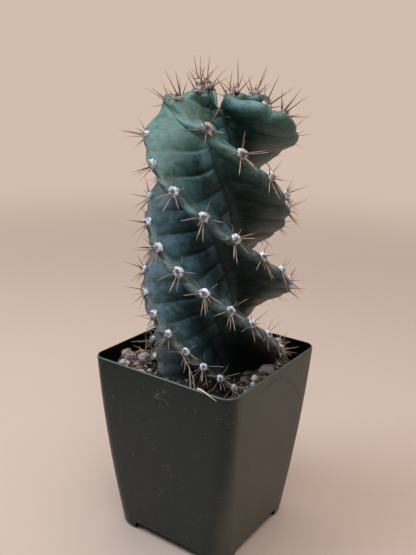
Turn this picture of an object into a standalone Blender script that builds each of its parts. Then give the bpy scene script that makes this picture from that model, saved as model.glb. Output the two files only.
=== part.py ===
# Spiral cactus in a square nursery pot.
# Metres, +Z up. The origin is on the table under the middle of the pot, whose sides face X and Y.
import math
import random

import bmesh
import bpy
from mathutils import Matrix, Vector, noise

# Gaps and grain
GAP = 0.0003
SEED = 41

# Pot: outer sides between flats, heights from the table
POT_HEIGHT = 0.0942
RIM_SIDE = 0.0805
BASE_SIDE = 0.0662
RIM_CORNER = 0.0062
BASE_CORNER = 0.0106
WALL_BOW = 0.52
WALL = 0.0011
FLOOR = 0.0014
FOOT_HEIGHT = 0.0045
FOOT_LENGTH = 0.0105
POT_LEVELS = (0.0, 0.0045, 0.0124, 0.026, 0.040, 0.054, 0.067, 0.079, 0.088, POT_HEIGHT)
CORNER_STEPS = 6
DRAIN_RADIUS = 0.0042
DRAIN_OFFSET = 0.017

# Potting mix
MIX_LEVEL = 0.0815
MIX_RINGS = 15
MOUND_CENTRE = (-0.030, -0.018)
MOUND_HEIGHT = 0.0075
MOUND_RADIUS = 0.0125
GRAIN_COUNT = 110
GRAIN_HEIGHT = 0.0011

# Stem: four deep ribs that wind down to the right, as seen from outside
RIBS = 4
STEM_AXIS = (0.0026, 0.0016)
STEM_LEAN = (-0.0150, -0.0100)
STEM_FOOT = 0.052
STEM_SHOULDER = 0.2035
STEM_ROW = 0.0031
CREST_PROFILE = (
    (STEM_FOOT, 0.0150), (0.068, 0.0215), (0.082, 0.0275), (0.100, 0.0318), (0.122, 0.0342),
    (0.138, 0.0346), (0.155, 0.0330), (0.172, 0.0314), (0.190, 0.0314), (STEM_SHOULDER, 0.0318),
)
TWIST_MIDDLE = 0.150
TWIST_PITCH = 0.1414
TWIST_TIGHTEN = 0.0755
CREST_ANGLE = math.radians(169)
RIB_DRIFT = (math.radians(3), 0.0, math.radians(-9), math.radians(-1))
RIB_BENDS = (
    (0, 0.1906, math.radians(10.8)), (1, 0.2100, math.radians(5.0)), (2, 0.1123, math.radians(16.3)),
)
BEND_LENGTH = 0.012

# Section of a rib: how wide its rounded nose is on either side, as shares of the way to a valley
SECTION = (-1.0, -0.60, -0.39, -0.26, -0.10, 0.05, 0.19, 0.45)
UPPER_WIDTH = 0.200
LOWER_WIDTH = 0.270
RIB_FULLNESS = (1.08, 0.95, 0.96, 1.03)
NOSE_ROUNDNESS = 4.6
FLANK_FALL = 0.78
NOSE_SHIFT = 0.09
VALLEY_RADIUS = 0.0082
CREST_SWELL = 0.0006
FLANK_SWELL = 0.0014
FOLD_RISE = 0.0035

# Crown: nearly flat, tilted, with thinner ribs that meet at a sunken growing point.
# CROWN_SINK is how far down its valleys lie, as a share of its height.
CROWN_HEIGHT = 0.0137
CROWN_ARC = 0.038
CROWN_SQUARENESS = 4
CROWN_ROWS = 10
CROWN_SPAN = (0.183, 0.210)
CROWN_SHIFT = 0.176
CROWN_WIDTH = 0.281
CROWN_VALLEY = 0.0044
CROWN_SINK = 0.43
CROWN_PIT = (0.78, 1.0)
CROWN_SWELL = 0.0022
TILT = 0.187
TILT_ANGLE = math.radians(170)
TILT_SPAN = (0.195, 0.212)

# Areoles and spines
AREOLE_START = 0.090
AREOLE_STEP = 0.0058
AREOLE_GROWTH = 0.045
AREOLE_PHASE = (0.55, 0.20, 0.50, 0.66)
AREOLE_RANGE = (-6, 15)
CROWN_AREOLES = ((0.44, 0.58, 0.88), (0.16, 0.51, 0.76), (0.17, 0.58, 0.80), (0.18, 0.59, 0.80))
AREOLE_CLEARANCE = 0.0030
AREOLE_UPTURN = 0.2
PAD_RADIUS = 0.0019
PAD_HEIGHT = 0.0012
PAD_SIDES = 5
RADIAL_SPINES = 5
SPINE_LENGTH = 0.0098
CROWN_SPINE_LENGTH = 0.0125
SPINE_RADIUS = 0.00042
SPINE_ROOT = 0.0014
SPINE_REACH = 0.0422
SPINE_CLEARANCE = 0.0015
TALLEST_TIP = 0.2355

# Loose pieces on the mix: x, y, width, length, height
PUMICE = (
    (-0.0258, -0.0180, 0.0058, 0.0074, 0.0048),
    (-0.0325, -0.0262, 0.0044, 0.0052, 0.0040),
    (-0.0200, -0.0275, 0.0046, 0.0056, 0.0040),
    (0.0318, 0.0150, 0.0066, 0.0080, 0.0070),
    (0.0335, 0.0250, 0.0046, 0.0058, 0.0052),
    (0.0325, 0.0040, 0.0040, 0.0046, 0.0042),
)
BARK = (
    (-0.0355, -0.0200, 0.0052, 0.0068, 0.0050),
    (0.0350, -0.0060, 0.0044, 0.0070, 0.0030),
)


def clear_scene():
    for obj in list(bpy.data.objects):
        bpy.data.objects.remove(obj, do_unlink=True)


def material(name, colour, roughness, metallic=0.0):
    mat = bpy.data.materials.new(name)
    mat.use_nodes = True
    shader = mat.node_tree.nodes["Principled BSDF"]
    shader.inputs["Base Color"].default_value = (*colour, 1.0)
    shader.inputs["Roughness"].default_value = roughness
    shader.inputs["Metallic"].default_value = metallic
    return mat


def new_object(name, bm, mat=None, smooth=True):
    mesh = bpy.data.meshes.new(name)
    bm.to_mesh(mesh)
    bm.free()
    obj = bpy.data.objects.new(name, mesh)
    bpy.context.scene.collection.objects.link(obj)
    if mat:
        mesh.materials.append(mat)
    if smooth:
        mesh.shade_smooth()
        mesh.set_sharp_from_angle(angle=math.radians(38))
    return obj


def skin(rings, close_ends=True):
    """Closed mesh through rings of equal length, lowest ring first, each running anticlockwise."""
    bm = bmesh.new()
    rows = [[bm.verts.new(point) for point in ring] for ring in rings]
    count = len(rows[0])
    for low, high in zip(rows, rows[1:]):
        for i in range(count):
            j = (i + 1) % count
            bm.faces.new((low[i], low[j], high[j], high[i]))
    if close_ends:
        bm.faces.new(list(reversed(rows[0])))
        bm.faces.new(rows[-1])
    return bm


def apply_boolean(target, operation, cutter=None, group=None, solver="EXACT"):
    """Cut or join, apply it and remove what it used."""
    mod = target.modifiers.new("cut", "BOOLEAN")
    mod.operation = operation
    mod.solver = solver
    if group:
        mod.operand_type = "COLLECTION"
        mod.collection = group
    else:
        mod.object = cutter
    used = list(group.objects) if group else [cutter]
    depsgraph = bpy.context.evaluated_depsgraph_get()
    result = bpy.data.meshes.new_from_object(target.evaluated_get(depsgraph))
    target.modifiers.remove(mod)
    target.data = result
    for obj in used:
        bpy.data.objects.remove(obj, do_unlink=True)
    if group:
        bpy.data.collections.remove(group)


def keep_largest(obj):
    """Drop loose scraps and fill sealed hollows: only the outermost shell stays."""
    bm = bmesh.new()
    bm.from_mesh(obj.data)
    unseen = set(bm.verts)
    shells = []
    while unseen:
        shell = []
        queue = [unseen.pop()]
        while queue:
            vert = queue.pop()
            shell.append(vert)
            for edge in vert.link_edges:
                other = edge.other_vert(vert)
                if other in unseen:
                    unseen.remove(other)
                    queue.append(other)
        shells.append(shell)
    shells.sort(key=len, reverse=True)
    scraps = [vert for shell in shells[1:] for vert in shell]
    bmesh.ops.delete(bm, geom=scraps, context="VERTS")
    bm.to_mesh(obj.data)
    bm.free()


# Pot


def wall_side(z):
    """Outer side of the pot at a height: it widens upwards and bows out a little."""
    t = (POT_HEIGHT - z) / (POT_HEIGHT - FOOT_HEIGHT)
    bowed = t + WALL_BOW * t * (t - 1)
    return RIM_SIDE - (RIM_SIDE - BASE_SIDE) * bowed


def wall_ring(z, inset=0.0):
    """Rounded square at height z, moved in by inset."""
    t = (POT_HEIGHT - z) / POT_HEIGHT
    half = wall_side(z) / 2 - inset
    corner = max(RIM_CORNER + (BASE_CORNER - RIM_CORNER) * t - inset, 0.002)
    ring = []
    for quarter in range(4):
        turn = quarter * math.pi / 2
        middle = Vector((half - corner, half - corner))
        for step in range(CORNER_STEPS + 1):
            a = step / CORNER_STEPS * math.pi / 2
            x = middle.x + corner * math.cos(a)
            y = middle.y + corner * math.sin(a)
            ring.append(turned(x, y, turn, z))
        for share in (1 / 3, 2 / 3):
            x = (half - corner) * (1 - 2 * share)
            ring.append(turned(x, half, turn, z))
    return ring


def turned(x, y, angle, z):
    return Vector((x * math.cos(angle) - y * math.sin(angle), x * math.sin(angle) + y * math.cos(angle), z))


def box(name, low, high):
    bm = bmesh.new()
    bmesh.ops.create_cube(bm, size=1.0)
    for vert in bm.verts:
        vert.co = Vector(low[i] + (vert.co[i] + 0.5) * (high[i] - low[i]) for i in range(3))
    obj = new_object(name, bm, smooth=False)
    obj.display_type = "WIRE"
    obj.hide_render = True
    return obj


def make_pot():
    outer = [wall_ring(z) for z in POT_LEVELS]
    floor_top = FOOT_HEIGHT + FLOOR
    inner_levels = [floor_top] + [z for z in POT_LEVELS if z > floor_top]
    inner = [wall_ring(z, WALL) for z in reversed(inner_levels)]
    pot = new_object("pot", skin(outer + inner), material("pot plastic", (0.035, 0.040, 0.036), 0.42))
    reach = wall_side(0.0) / 2 - FOOT_LENGTH
    for name, x, y in (("notch_x", 1.0, reach), ("notch_y", reach, 1.0)):
        half_x = min(x, RIM_SIDE)
        half_y = min(y, RIM_SIDE)
        cutter = box(name, (-half_x, -half_y, -0.01), (half_x, half_y, FOOT_HEIGHT))
        apply_boolean(pot, "DIFFERENCE", cutter)
    for sx in (-1, 1):
        for sy in (-1, 1):
            bm = bmesh.new()
            bmesh.ops.create_cone(
                bm, cap_ends=True, segments=12, radius1=DRAIN_RADIUS, radius2=DRAIN_RADIUS, depth=0.01,
                matrix=Matrix.Translation((sx * DRAIN_OFFSET, sy * DRAIN_OFFSET, FOOT_HEIGHT)),
            )
            apply_boolean(pot, "DIFFERENCE", new_object("drain", bm))
    pot.data.shade_smooth()
    pot.data.set_sharp_from_angle(angle=math.radians(38))
    return pot


# Stem


def eased(value, span):
    """0 below the span, 1 above it, smooth between."""
    t = min(max((value - span[0]) / (span[1] - span[0]), 0.0), 1.0)
    return t * t * (3 - 2 * t)


def crown_share(level):
    """A level is a height up to the shoulder, and then goes on over the crown: 1 is its middle."""
    return min(max((level - STEM_SHOULDER) / CROWN_ARC, 0.0), 1.0)


def crest_place(level):
    """Distance from the axis and height of a crest, before the tilt and the swells."""
    share = crown_share(level)
    if share > 0:
        a = share * math.pi / 2
        size = (math.cos(a) ** CROWN_SQUARENESS + math.sin(a) ** CROWN_SQUARENESS) ** (1 / CROWN_SQUARENESS)
        radius = CREST_PROFILE[-1][1] * math.cos(a) / size
        return radius, STEM_SHOULDER + CROWN_HEIGHT * math.sin(a) / size
    for (z0, r0), (z1, r1) in zip(CREST_PROFILE, CREST_PROFILE[1:]):
        if level <= z1:
            return r0 + (r1 - r0) * (level - z0) / (z1 - z0), level
    return CREST_PROFILE[-1][1], level


def rib_turn(rib, z):
    """Angle of a rib at a height: it falls to the right, the twist tightens upwards, and a rib wanders."""
    u = (z - TWIST_MIDDLE) / 0.1
    turns = (z - TWIST_MIDDLE) / TWIST_PITCH + TWIST_TIGHTEN * u * u
    turn = CREST_ANGLE - math.tau * (turns + rib / RIBS) + RIB_DRIFT[rib]
    for bent, middle, angle in RIB_BENDS:
        if bent == rib:
            turn += angle * math.exp(-((z - middle) / BEND_LENGTH) ** 2)
    return turn


def crest_angle(rib, level):
    """Angle of a crest at a level. Ribs are counted on past the last and before the first."""
    lap, rib = divmod(rib, RIBS)
    radius, z = crest_place(level)
    lift = TILT * eased(z, TILT_SPAN) * radius * math.cos(rib_turn(rib, z) - TILT_ANGLE)
    return rib_turn(rib, z + lift) - math.tau * lap


def areole_levels(rib):
    """Levels of a rib's areoles from under the mix to the crown's middle."""
    levels = []
    for number in range(*AREOLE_RANGE):
        reach = math.exp(AREOLE_GROWTH * (number + AREOLE_PHASE[rib])) - 1
        level = AREOLE_START + AREOLE_STEP * reach / AREOLE_GROWTH
        if level < STEM_SHOULDER - 0.001:
            levels.append(level)
    return levels + [STEM_SHOULDER + share * CROWN_ARC for share in CROWN_AREOLES[rib]]


AREOLE_LEVELS = [areole_levels(rib) for rib in range(RIBS)]


def swell(rib, level):
    """1 at an areole and 0 half way to the next, fading out under the mix."""
    levels = AREOLE_LEVELS[rib]
    wave = 0.0
    for low, high in zip(levels, levels[1:]):
        if low <= level < high:
            wave = 0.5 + 0.5 * math.cos(math.tau * (level - low) / (high - low))
    return wave * min(max((level - 0.080) / 0.01, 0.0), 1.0)


def axis_point(z):
    up = z - TWIST_MIDDLE
    return Vector((STEM_AXIS[0] + STEM_LEAN[0] * up, STEM_AXIS[1] + STEM_LEAN[1] * up, z))


def club(share, width):
    """Club-shaped profile: 1 on the nose, 0 in the valley."""
    edge = (1 + (1 / width) ** NOSE_ROUNDNESS) ** -FLANK_FALL
    return ((1 + (abs(share) / width) ** NOSE_ROUNDNESS) ** -FLANK_FALL - edge) / (1 - edge)


def rib_fill(rib, across, crown):
    """How far the section stands out: 0 in a valley, 1 at the areole, a little more on the nose."""
    shift = NOSE_SHIFT + (CROWN_SHIFT - NOSE_SHIFT) * crown
    upper = UPPER_WIDTH + (CROWN_WIDTH - UPPER_WIDTH) * crown
    share = across + shift * (1 - across * across)
    return club(share, LOWER_WIDTH * RIB_FULLNESS[rib] if share < 0 else upper) / club(shift, upper)


def rib_point(rib, across, level):
    """Point on a rib: across is -1 in the valley under it, 0 at its areoles, 1 in the valley over it."""
    crest = crest_angle(rib, level)
    neighbour = crest_angle(rib + 1 if across < 0 else rib - 1, level)
    angle = crest + (neighbour - crest) * abs(across) / 2
    crest_r, z = crest_place(level)
    crown = eased(z, CROWN_SPAN)
    fill = rib_fill(rib, across, crown)
    closing = 1 - crest_r / CREST_PROFILE[-1][1] if level > STEM_SHOULDER else 0.0
    valley = (VALLEY_RADIUS + (CROWN_VALLEY - VALLEY_RADIUS) * crown) * (1 - closing) ** 0.6
    flank = math.sin(math.pi * min(abs(across) * 1.3, 1.0)) * (1.0 if across > 0 else 0.45)
    share = crown_share(level)
    relief = (CREST_SWELL + (CROWN_SWELL - CREST_SWELL) * share) * min(fill, 1.0) + FLANK_SWELL * flank
    relief *= (swell(rib, level - FOLD_RISE * max(across, 0.0)) - 0.5) * (1 - share ** 4)
    radius = valley + (crest_r - valley) * fill + relief * math.cos(share * math.pi / 2)
    z += relief * math.sin(share * math.pi / 2)
    if closing > 0:
        z -= (z - STEM_SHOULDER) * CROWN_SINK * (1 - min(fill, 1.0) * (1 - eased(closing, CROWN_PIT)))
    x = radius * math.cos(angle)
    y = radius * math.sin(angle)
    lift = TILT * eased(z, TILT_SPAN) * (x * math.cos(TILT_ANGLE) + y * math.sin(TILT_ANGLE))
    return axis_point(z) + Vector((x, y, lift))


def stem_levels():
    levels = [STEM_FOOT, 0.060, 0.068, 0.074]
    level = 0.0785
    while level < STEM_SHOULDER - STEM_ROW / 2:
        levels.append(level)
        level += STEM_ROW
    for row in range(CROWN_ROWS + 1):
        levels.append(STEM_SHOULDER + CROWN_ARC * row / CROWN_ROWS * 0.985)
    return levels


def stem_ring(level):
    """Points run anticlockwise, so the ribs are taken in the order of rising angle."""
    return [rib_point(rib, across, level) for rib in reversed(range(RIBS)) for across in SECTION]


def stem_body(levels, grow=0.0):
    """The ribbed body. Its faces are split alike for the stem and for its hole, so the two stay parallel."""
    bm = skin([stem_ring(level) for level in levels])
    bmesh.ops.triangulate(bm, faces=bm.faces[:], quad_method="FIXED")
    if grow:
        bm.normal_update()
        moves = [(vert, vert.normal.copy()) for vert in bm.verts]
        for vert, normal in moves:
            vert.co += normal * grow
    return bm


def crest_frame(rib, level):
    """Place, outward direction and direction along the rib at a point of its crest."""
    at = rib_point(rib, 0.0, level)
    along = (rib_point(rib, 0.0, level + 0.001) - rib_point(rib, 0.0, level - 0.001)).normalized()
    outward = at - axis_point(min(at.z, STEM_SHOULDER - 0.008))
    outward = outward.normalized() + Vector((0, 0, AREOLE_UPTURN))
    outward = (outward - along * outward.dot(along)).normalized()
    return at, outward, along


def areoles():
    """Rib and level of every areole above the mix."""
    spots = []
    for rib in range(RIBS):
        for level in AREOLE_LEVELS[rib]:
            at = rib_point(rib, 0.0, level)
            if mix_height(at.x, at.y) + AREOLE_CLEARANCE < at.z:
                spots.append((rib, level))
    return spots


def needle(root, tip, radius):
    """Three-sided needle from a root to a sharp tip."""
    bm = bmesh.new()
    way = (tip - root).normalized()
    side = way.orthogonal().normalized()
    other = way.cross(side)
    base = []
    for step in range(3):
        a = step / 3 * math.tau
        base.append(bm.verts.new(root + (side * math.cos(a) + other * math.sin(a)) * radius))
    point = bm.verts.new(tip)
    bm.faces.new(reversed(base))
    for i in range(3):
        bm.faces.new((base[i], base[(i + 1) % 3], point))
    return bm


def pad(at, outward, along):
    """Woolly areole: a low dome half sunk into the crest."""
    across = outward.cross(along)
    bm = bmesh.new()
    rows = []
    for lift, width in ((-0.8, 1.15), (0.8, 0.65)):
        row = []
        for step in range(PAD_SIDES):
            a = step / PAD_SIDES * math.tau
            spot = at + outward * (lift * PAD_HEIGHT)
            spot += (along * (math.cos(a) * 1.15) + across * math.sin(a)) * (PAD_RADIUS * width)
            row.append(bm.verts.new(spot))
        rows.append(row)
    for low, high in zip(rows, rows[1:]):
        for i in range(PAD_SIDES):
            j = (i + 1) % PAD_SIDES
            bm.faces.new((low[i], low[j], high[j], high[i]))
    bm.faces.new(reversed(rows[0]))
    bm.faces.new(rows[-1])
    bmesh.ops.recalc_face_normals(bm, faces=bm.faces)
    return bm


def ground(x, y):
    """Lowest height where a spine may pass: over the mix, its loose pieces and the pot's rim."""
    if max(abs(x), abs(y)) > RIM_SIDE / 2 - WALL - SPINE_CLEARANCE:
        return POT_HEIGHT + SPINE_CLEARANCE
    level = mix_height(x, y)
    for sx, sy, width, length, height in PUMICE + BARK:
        if math.hypot(x - sx, y - sy) < max(width, length) * 0.6 + SPINE_CLEARANCE:
            level = max(level, mix_height(sx, sy) + height)
    return level + SPINE_CLEARANCE


def stands_clear(root, tip):
    for share in (0.4, 0.6, 0.8, 1.0):
        spot = root.lerp(tip, share)
        if spot.z < ground(spot.x, spot.y):
            return False
    return True


def spine_ends(root, way, length):
    """Ends of a spine, turned upwards until it stands clear and held inside the plant's reach."""
    for attempt in range(8):
        tip = root + way * length
        for i in range(2):
            if abs(tip[i]) > SPINE_REACH:
                tip = root + (tip - root) * ((SPINE_REACH - abs(root[i])) / (abs(tip[i]) - abs(root[i])))
        if tip.z > TALLEST_TIP:
            tip = root + (tip - root) * ((TALLEST_TIP - root.z) / (tip.z - root.z))
        if stands_clear(root, tip):
            return root - way * SPINE_ROOT, tip
        way = (way + Vector((0, 0, 0.35))).normalized()
    return None


def spine_set(draw, rib, level):
    """Root and tip of each spine of one areole: radials in a star and one or two centrals."""
    at, outward, along = crest_frame(rib, level)
    across = outward.cross(along)
    crown = min(max((level - STEM_SHOULDER + 0.02) / 0.03, 0.0), 1.0)
    reach = SPINE_LENGTH + (CROWN_SPINE_LENGTH - SPINE_LENGTH) * crown
    spines = []
    turn = draw.uniform(0, math.tau)
    ways = []
    for step in range(RADIAL_SPINES):
        a = turn + (step + draw.uniform(-0.2, 0.2)) / RADIAL_SPINES * math.tau
        lift = draw.uniform(0.35, 0.7) + 0.5 * crown
        ways.append((outward * lift + along * math.cos(a) + across * math.sin(a), draw.uniform(0.7, 1.0)))
    ways.append((outward + along * draw.uniform(-0.35, 0.35) + across * draw.uniform(-0.4, 0.3), 1.2))
    for way, size in ways:
        sideways = way - outward * way.dot(outward)
        root = at + outward * (PAD_HEIGHT * 0.3) + sideways.normalized() * (PAD_RADIUS * 0.5)
        ends = spine_ends(root, way.normalized(), reach * size)
        if ends:
            spines.append(ends)
    return spines


def make_stem():
    stem = new_object("stem", stem_body(stem_levels()), material("stem skin", (0.10, 0.19, 0.19), 0.5))
    draw = random.Random(SEED)
    group = bpy.data.collections.new("spines and areoles")
    bpy.context.scene.collection.children.link(group)
    for rib, level in areoles():
        pieces = [new_object("areole", pad(*crest_frame(rib, level)))]
        for root, tip in spine_set(draw, rib, level):
            pieces.append(new_object("spine", needle(root, tip, SPINE_RADIUS)))
        for piece in pieces:
            bpy.context.scene.collection.objects.unlink(piece)
            group.objects.link(piece)
    apply_boolean(stem, "UNION", group=group, solver="MANIFOLD")
    keep_largest(stem)
    return stem


# Potting mix


def grain_spots():
    """Seeded places and sizes of the coarse grains that show in the top of the mix."""
    draw = random.Random(SEED + 1)
    half = RIM_SIDE / 2 - 0.004
    spots = []
    for _ in range(GRAIN_COUNT):
        spots.append((draw.uniform(-half, half), draw.uniform(-half, half), draw.uniform(0.0016, 0.0034)))
    return spots


GRAINS = grain_spots()


def mix_height(x, y):
    """Top of the mix: a rough level with a mound in one corner and coarse grains."""
    z = MIX_LEVEL + 0.0009 * noise.noise(Vector((x * 110, y * 110, 3.0)))
    dx = x - MOUND_CENTRE[0]
    dy = y - MOUND_CENTRE[1]
    z += MOUND_HEIGHT * math.exp(-(dx * dx + dy * dy) / (MOUND_RADIUS * MOUND_RADIUS))
    rise = 0.0
    for gx, gy, size in GRAINS:
        near = ((x - gx) ** 2 + (y - gy) ** 2) / (size * size)
        if near < 1:
            rise = max(rise, GRAIN_HEIGHT * math.sqrt(1 - near))
    return z + rise


def mix_body(lift=0.0):
    """The mix fills the pot up to its rough top, a gap clear of the wall and floor."""
    inset = WALL + GAP
    bottom = FOOT_HEIGHT + FLOOR + GAP
    levels = [z for z in POT_LEVELS if bottom < z < MIX_LEVEL - 0.004]
    rings = [wall_ring(bottom, inset)] + [wall_ring(z, inset) for z in levels]
    edge = wall_ring(MIX_LEVEL, inset)
    for step in range(MIX_RINGS):
        share = 1 - step / MIX_RINGS
        ring = []
        for point in edge:
            x = point.x * share
            y = point.y * share
            ring.append(Vector((x, y, mix_height(x, y) + lift)))
        rings.append(ring)
    bm = skin(rings, close_ends=False)
    bm.verts.ensure_lookup_table()
    count = len(edge)
    bm.faces.new(list(reversed(bm.verts[:count])))
    centre = bm.verts.new((0, 0, mix_height(0, 0) + lift))
    last = bm.verts[-count - 1:-1]
    for i in range(count):
        bm.faces.new((last[i], last[(i + 1) % count], centre))
    return bm


def make_mix():
    mix = new_object("potting_mix", mix_body(), material("potting mix", (0.06, 0.045, 0.035), 0.95))
    levels = [z for z in stem_levels() if z < MIX_LEVEL + 0.012]
    hole = new_object("stem hole", stem_body(levels, grow=GAP * 1.5))
    apply_boolean(mix, "DIFFERENCE", hole)
    keep_largest(mix)
    mix.data.shade_smooth()
    mix.data.set_sharp_from_angle(angle=math.radians(38))
    return mix


# Loose pieces on the mix


def chip(draw, x, y, width, length, height, rough):
    """Uneven lump, part sunk where it lies: its underside follows the mix."""
    bm = bmesh.new()
    bmesh.ops.create_icosphere(bm, subdivisions=1 if rough > 0.2 else 2, radius=0.5)
    turn = Matrix.Rotation(draw.uniform(0, math.tau), 3, "Z")
    turn = turn @ Matrix.Rotation(draw.uniform(-0.3, 0.3), 3, "X")
    place = Vector((x, y, mix_height(x, y) + height * 0.22))
    for vert in bm.verts:
        size = 1 + draw.uniform(-rough, rough)
        local = Vector((vert.co.x * width, vert.co.y * length, vert.co.z * height)) * size
        vert.co = place + turn @ local
    return bm


def make_chips(kind, spots, mat, rough):
    draw = random.Random(SEED + len(kind))
    for number, spot in enumerate(spots, 1):
        piece = new_object(f"{kind}_{number}", chip(draw, *spot, rough), mat, smooth=False)
        apply_boolean(piece, "DIFFERENCE", new_object("mix under it", mix_body(lift=GAP)))
        keep_largest(piece)


def main():
    clear_scene()
    make_pot()
    make_mix()
    make_stem()
    make_chips("pumice_stone", PUMICE, material("pumice", (0.62, 0.58, 0.56), 0.9), 0.10)
    make_chips("bark_chip", BARK, material("bark", (0.36, 0.24, 0.17), 0.9), 0.22)


main()
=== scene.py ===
# %% [markdown]
# # A spiral cactus in a nursery pot
#
# The packed model gives the true sizes of the pot, the mix and the twisted stem.
# This lesson dresses that model: skin with a waxy bloom, woolly areoles, spines,
# scuffed plastic, gritty mix and litter. We load the frame first and keep its box.

import math
import random

import bmesh
import bpy
import numpy as np
from mathutils import Matrix, Vector, noise


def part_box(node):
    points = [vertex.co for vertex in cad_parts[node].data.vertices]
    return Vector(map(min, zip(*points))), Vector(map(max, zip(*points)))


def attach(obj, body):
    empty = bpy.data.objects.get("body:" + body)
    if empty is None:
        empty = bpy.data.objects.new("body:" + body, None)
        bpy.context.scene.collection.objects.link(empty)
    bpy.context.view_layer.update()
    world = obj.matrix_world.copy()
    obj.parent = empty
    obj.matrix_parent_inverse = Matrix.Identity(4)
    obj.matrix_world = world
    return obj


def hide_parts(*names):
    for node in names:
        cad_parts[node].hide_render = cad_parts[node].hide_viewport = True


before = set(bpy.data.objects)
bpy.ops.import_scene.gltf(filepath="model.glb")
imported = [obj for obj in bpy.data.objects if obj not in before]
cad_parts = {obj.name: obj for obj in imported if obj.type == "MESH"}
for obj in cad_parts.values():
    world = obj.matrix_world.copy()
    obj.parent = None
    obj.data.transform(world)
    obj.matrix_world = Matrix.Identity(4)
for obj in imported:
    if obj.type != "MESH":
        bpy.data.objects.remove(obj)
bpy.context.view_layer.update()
print("nodes:", sorted(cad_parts))

# %% [markdown]
# ## Sizes
#
# The outer sizes of the pot come from the frame. A box doesn't tell how thick a
# wall is, so the wall, the floor and the feet are named here once more. Every
# later step names its own numbers where it first needs them. The seed is the
# part's, which puts the spines where the part has them.

# %% Sizes of the pot
GAP = 0.0003
SEED = 41

POT_LOW, POT_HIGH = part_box("pot")
POT_HEIGHT = POT_HIGH.z
RIM_SIDE = POT_HIGH.x - POT_LOW.x
BASE_SIDE = 0.0662
RIM_CORNER = 0.0062
BASE_CORNER = 0.0106
WALL_BOW = 0.52
WALL = 0.0011
FLOOR = 0.0014
FOOT_HEIGHT = 0.0045
FOOT_LENGTH = 0.0135
print("pot", round(RIM_SIDE * 1000, 1), "mm square,", round(POT_HEIGHT * 1000, 1), "mm high")

# %% [markdown]
# ## Camera
#
# The photograph was taken about 30 cm from the plant, looking down a little at one
# corner of the pot. A camera is placed by its distance, height and the way it
# faces. Its lens is given as a focal length in picture pixels, because that is what
# can be worked out from the pot's outline, and then turned into millimetres.

# %% Camera
PICTURE_HEIGHT = 555
FOCAL_PIXELS = 680.0
CAMERA_DISTANCE = 0.31403
CAMERA_HEIGHT = 0.22687
CAMERA_SIDE = -0.00034
CAMERA_AZIMUTH = math.radians(34.30)
CAMERA_PITCH = math.radians(16.86)
CAMERA_YAW = math.radians(-0.08)
CAMERA_ROLL = math.radians(1.56)
SIDE = Vector((math.cos(CAMERA_AZIMUTH), math.sin(CAMERA_AZIMUTH), 0))
BACK = Vector((math.sin(CAMERA_AZIMUTH), -math.cos(CAMERA_AZIMUTH), 0))


def from_camera(right, back, up):
    """A place, by how far it is to the camera's right, towards the camera, and up."""
    return SIDE * right + BACK * back + Vector((0, 0, up))


def place_camera():
    eye = from_camera(CAMERA_SIDE, CAMERA_DISTANCE, CAMERA_HEIGHT)
    level = SIDE * math.sin(CAMERA_YAW) - BACK * math.cos(CAMERA_YAW)
    right = SIDE * math.cos(CAMERA_YAW) + BACK * math.sin(CAMERA_YAW)
    ahead = level * math.cos(CAMERA_PITCH) - Vector((0, 0, math.sin(CAMERA_PITCH)))
    up = right.cross(ahead)
    rolled_right = right * math.cos(CAMERA_ROLL) + up * math.sin(CAMERA_ROLL)
    rolled_up = up * math.cos(CAMERA_ROLL) - right * math.sin(CAMERA_ROLL)
    data = bpy.data.cameras.new("camera")
    data.sensor_width = 36.0
    data.lens = data.sensor_width * FOCAL_PIXELS / PICTURE_HEIGHT
    data.clip_start = 0.01
    camera = bpy.data.objects.new("camera", data)
    bpy.context.scene.collection.objects.link(camera)
    turn = Matrix((rolled_right, rolled_up, -ahead)).transposed()
    camera.matrix_world = Matrix.Translation(eye) @ turn.to_4x4()
    bpy.context.scene.camera = camera
    return camera


camera = place_camera()
print("lens", round(camera.data.lens, 1), "mm")

# %% [markdown]
# ## Shader maths as Python
#
# A material in Blender is a graph of nodes. Wiring it by hand hides the idea, so a
# small class wraps one output socket and lets Python's own operators add the Math
# nodes. `1 - mask` then reads as it would on paper.

# %% A socket that does sums
class Value:
    def __init__(self, graph, socket):
        self.graph = graph
        self.socket = socket

    def sum(self, operation, *others):
        sockets = dict(enumerate((self,) + others))
        return self.graph.add("ShaderNodeMath", {"operation": operation}, sockets)

    def __add__(self, other):
        return self.sum("ADD", other)

    __radd__ = __add__

    def __sub__(self, other):
        return self.sum("SUBTRACT", other)

    def __rsub__(self, other):
        return (self * -1.0) + other

    def __mul__(self, other):
        return self.sum("MULTIPLY", other)

    __rmul__ = __mul__

    def __pow__(self, other):
        return self.sum("POWER", other)

    def __gt__(self, other):
        return self.sum("GREATER_THAN", other)

    def between(self, low, high, first=0.0, last=1.0):
        """The first value at low, the last at high, smooth between."""
        settings = {"interpolation_type": "SMOOTHSTEP"}
        return self.graph.add("ShaderNodeMapRange", settings, {0: self, 1: low, 2: high, 3: first, 4: last})


print("a socket takes Python's operators, and has:", [name for name in vars(Value) if name[0] != "_"])

# %% [markdown]
# A graph holds the nodes of one material, or of the world. Its `add` makes any
# node: the settings are put in first, because some of them change which sockets
# the node has, and then each socket takes a number, a colour or another node's
# output.

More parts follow.
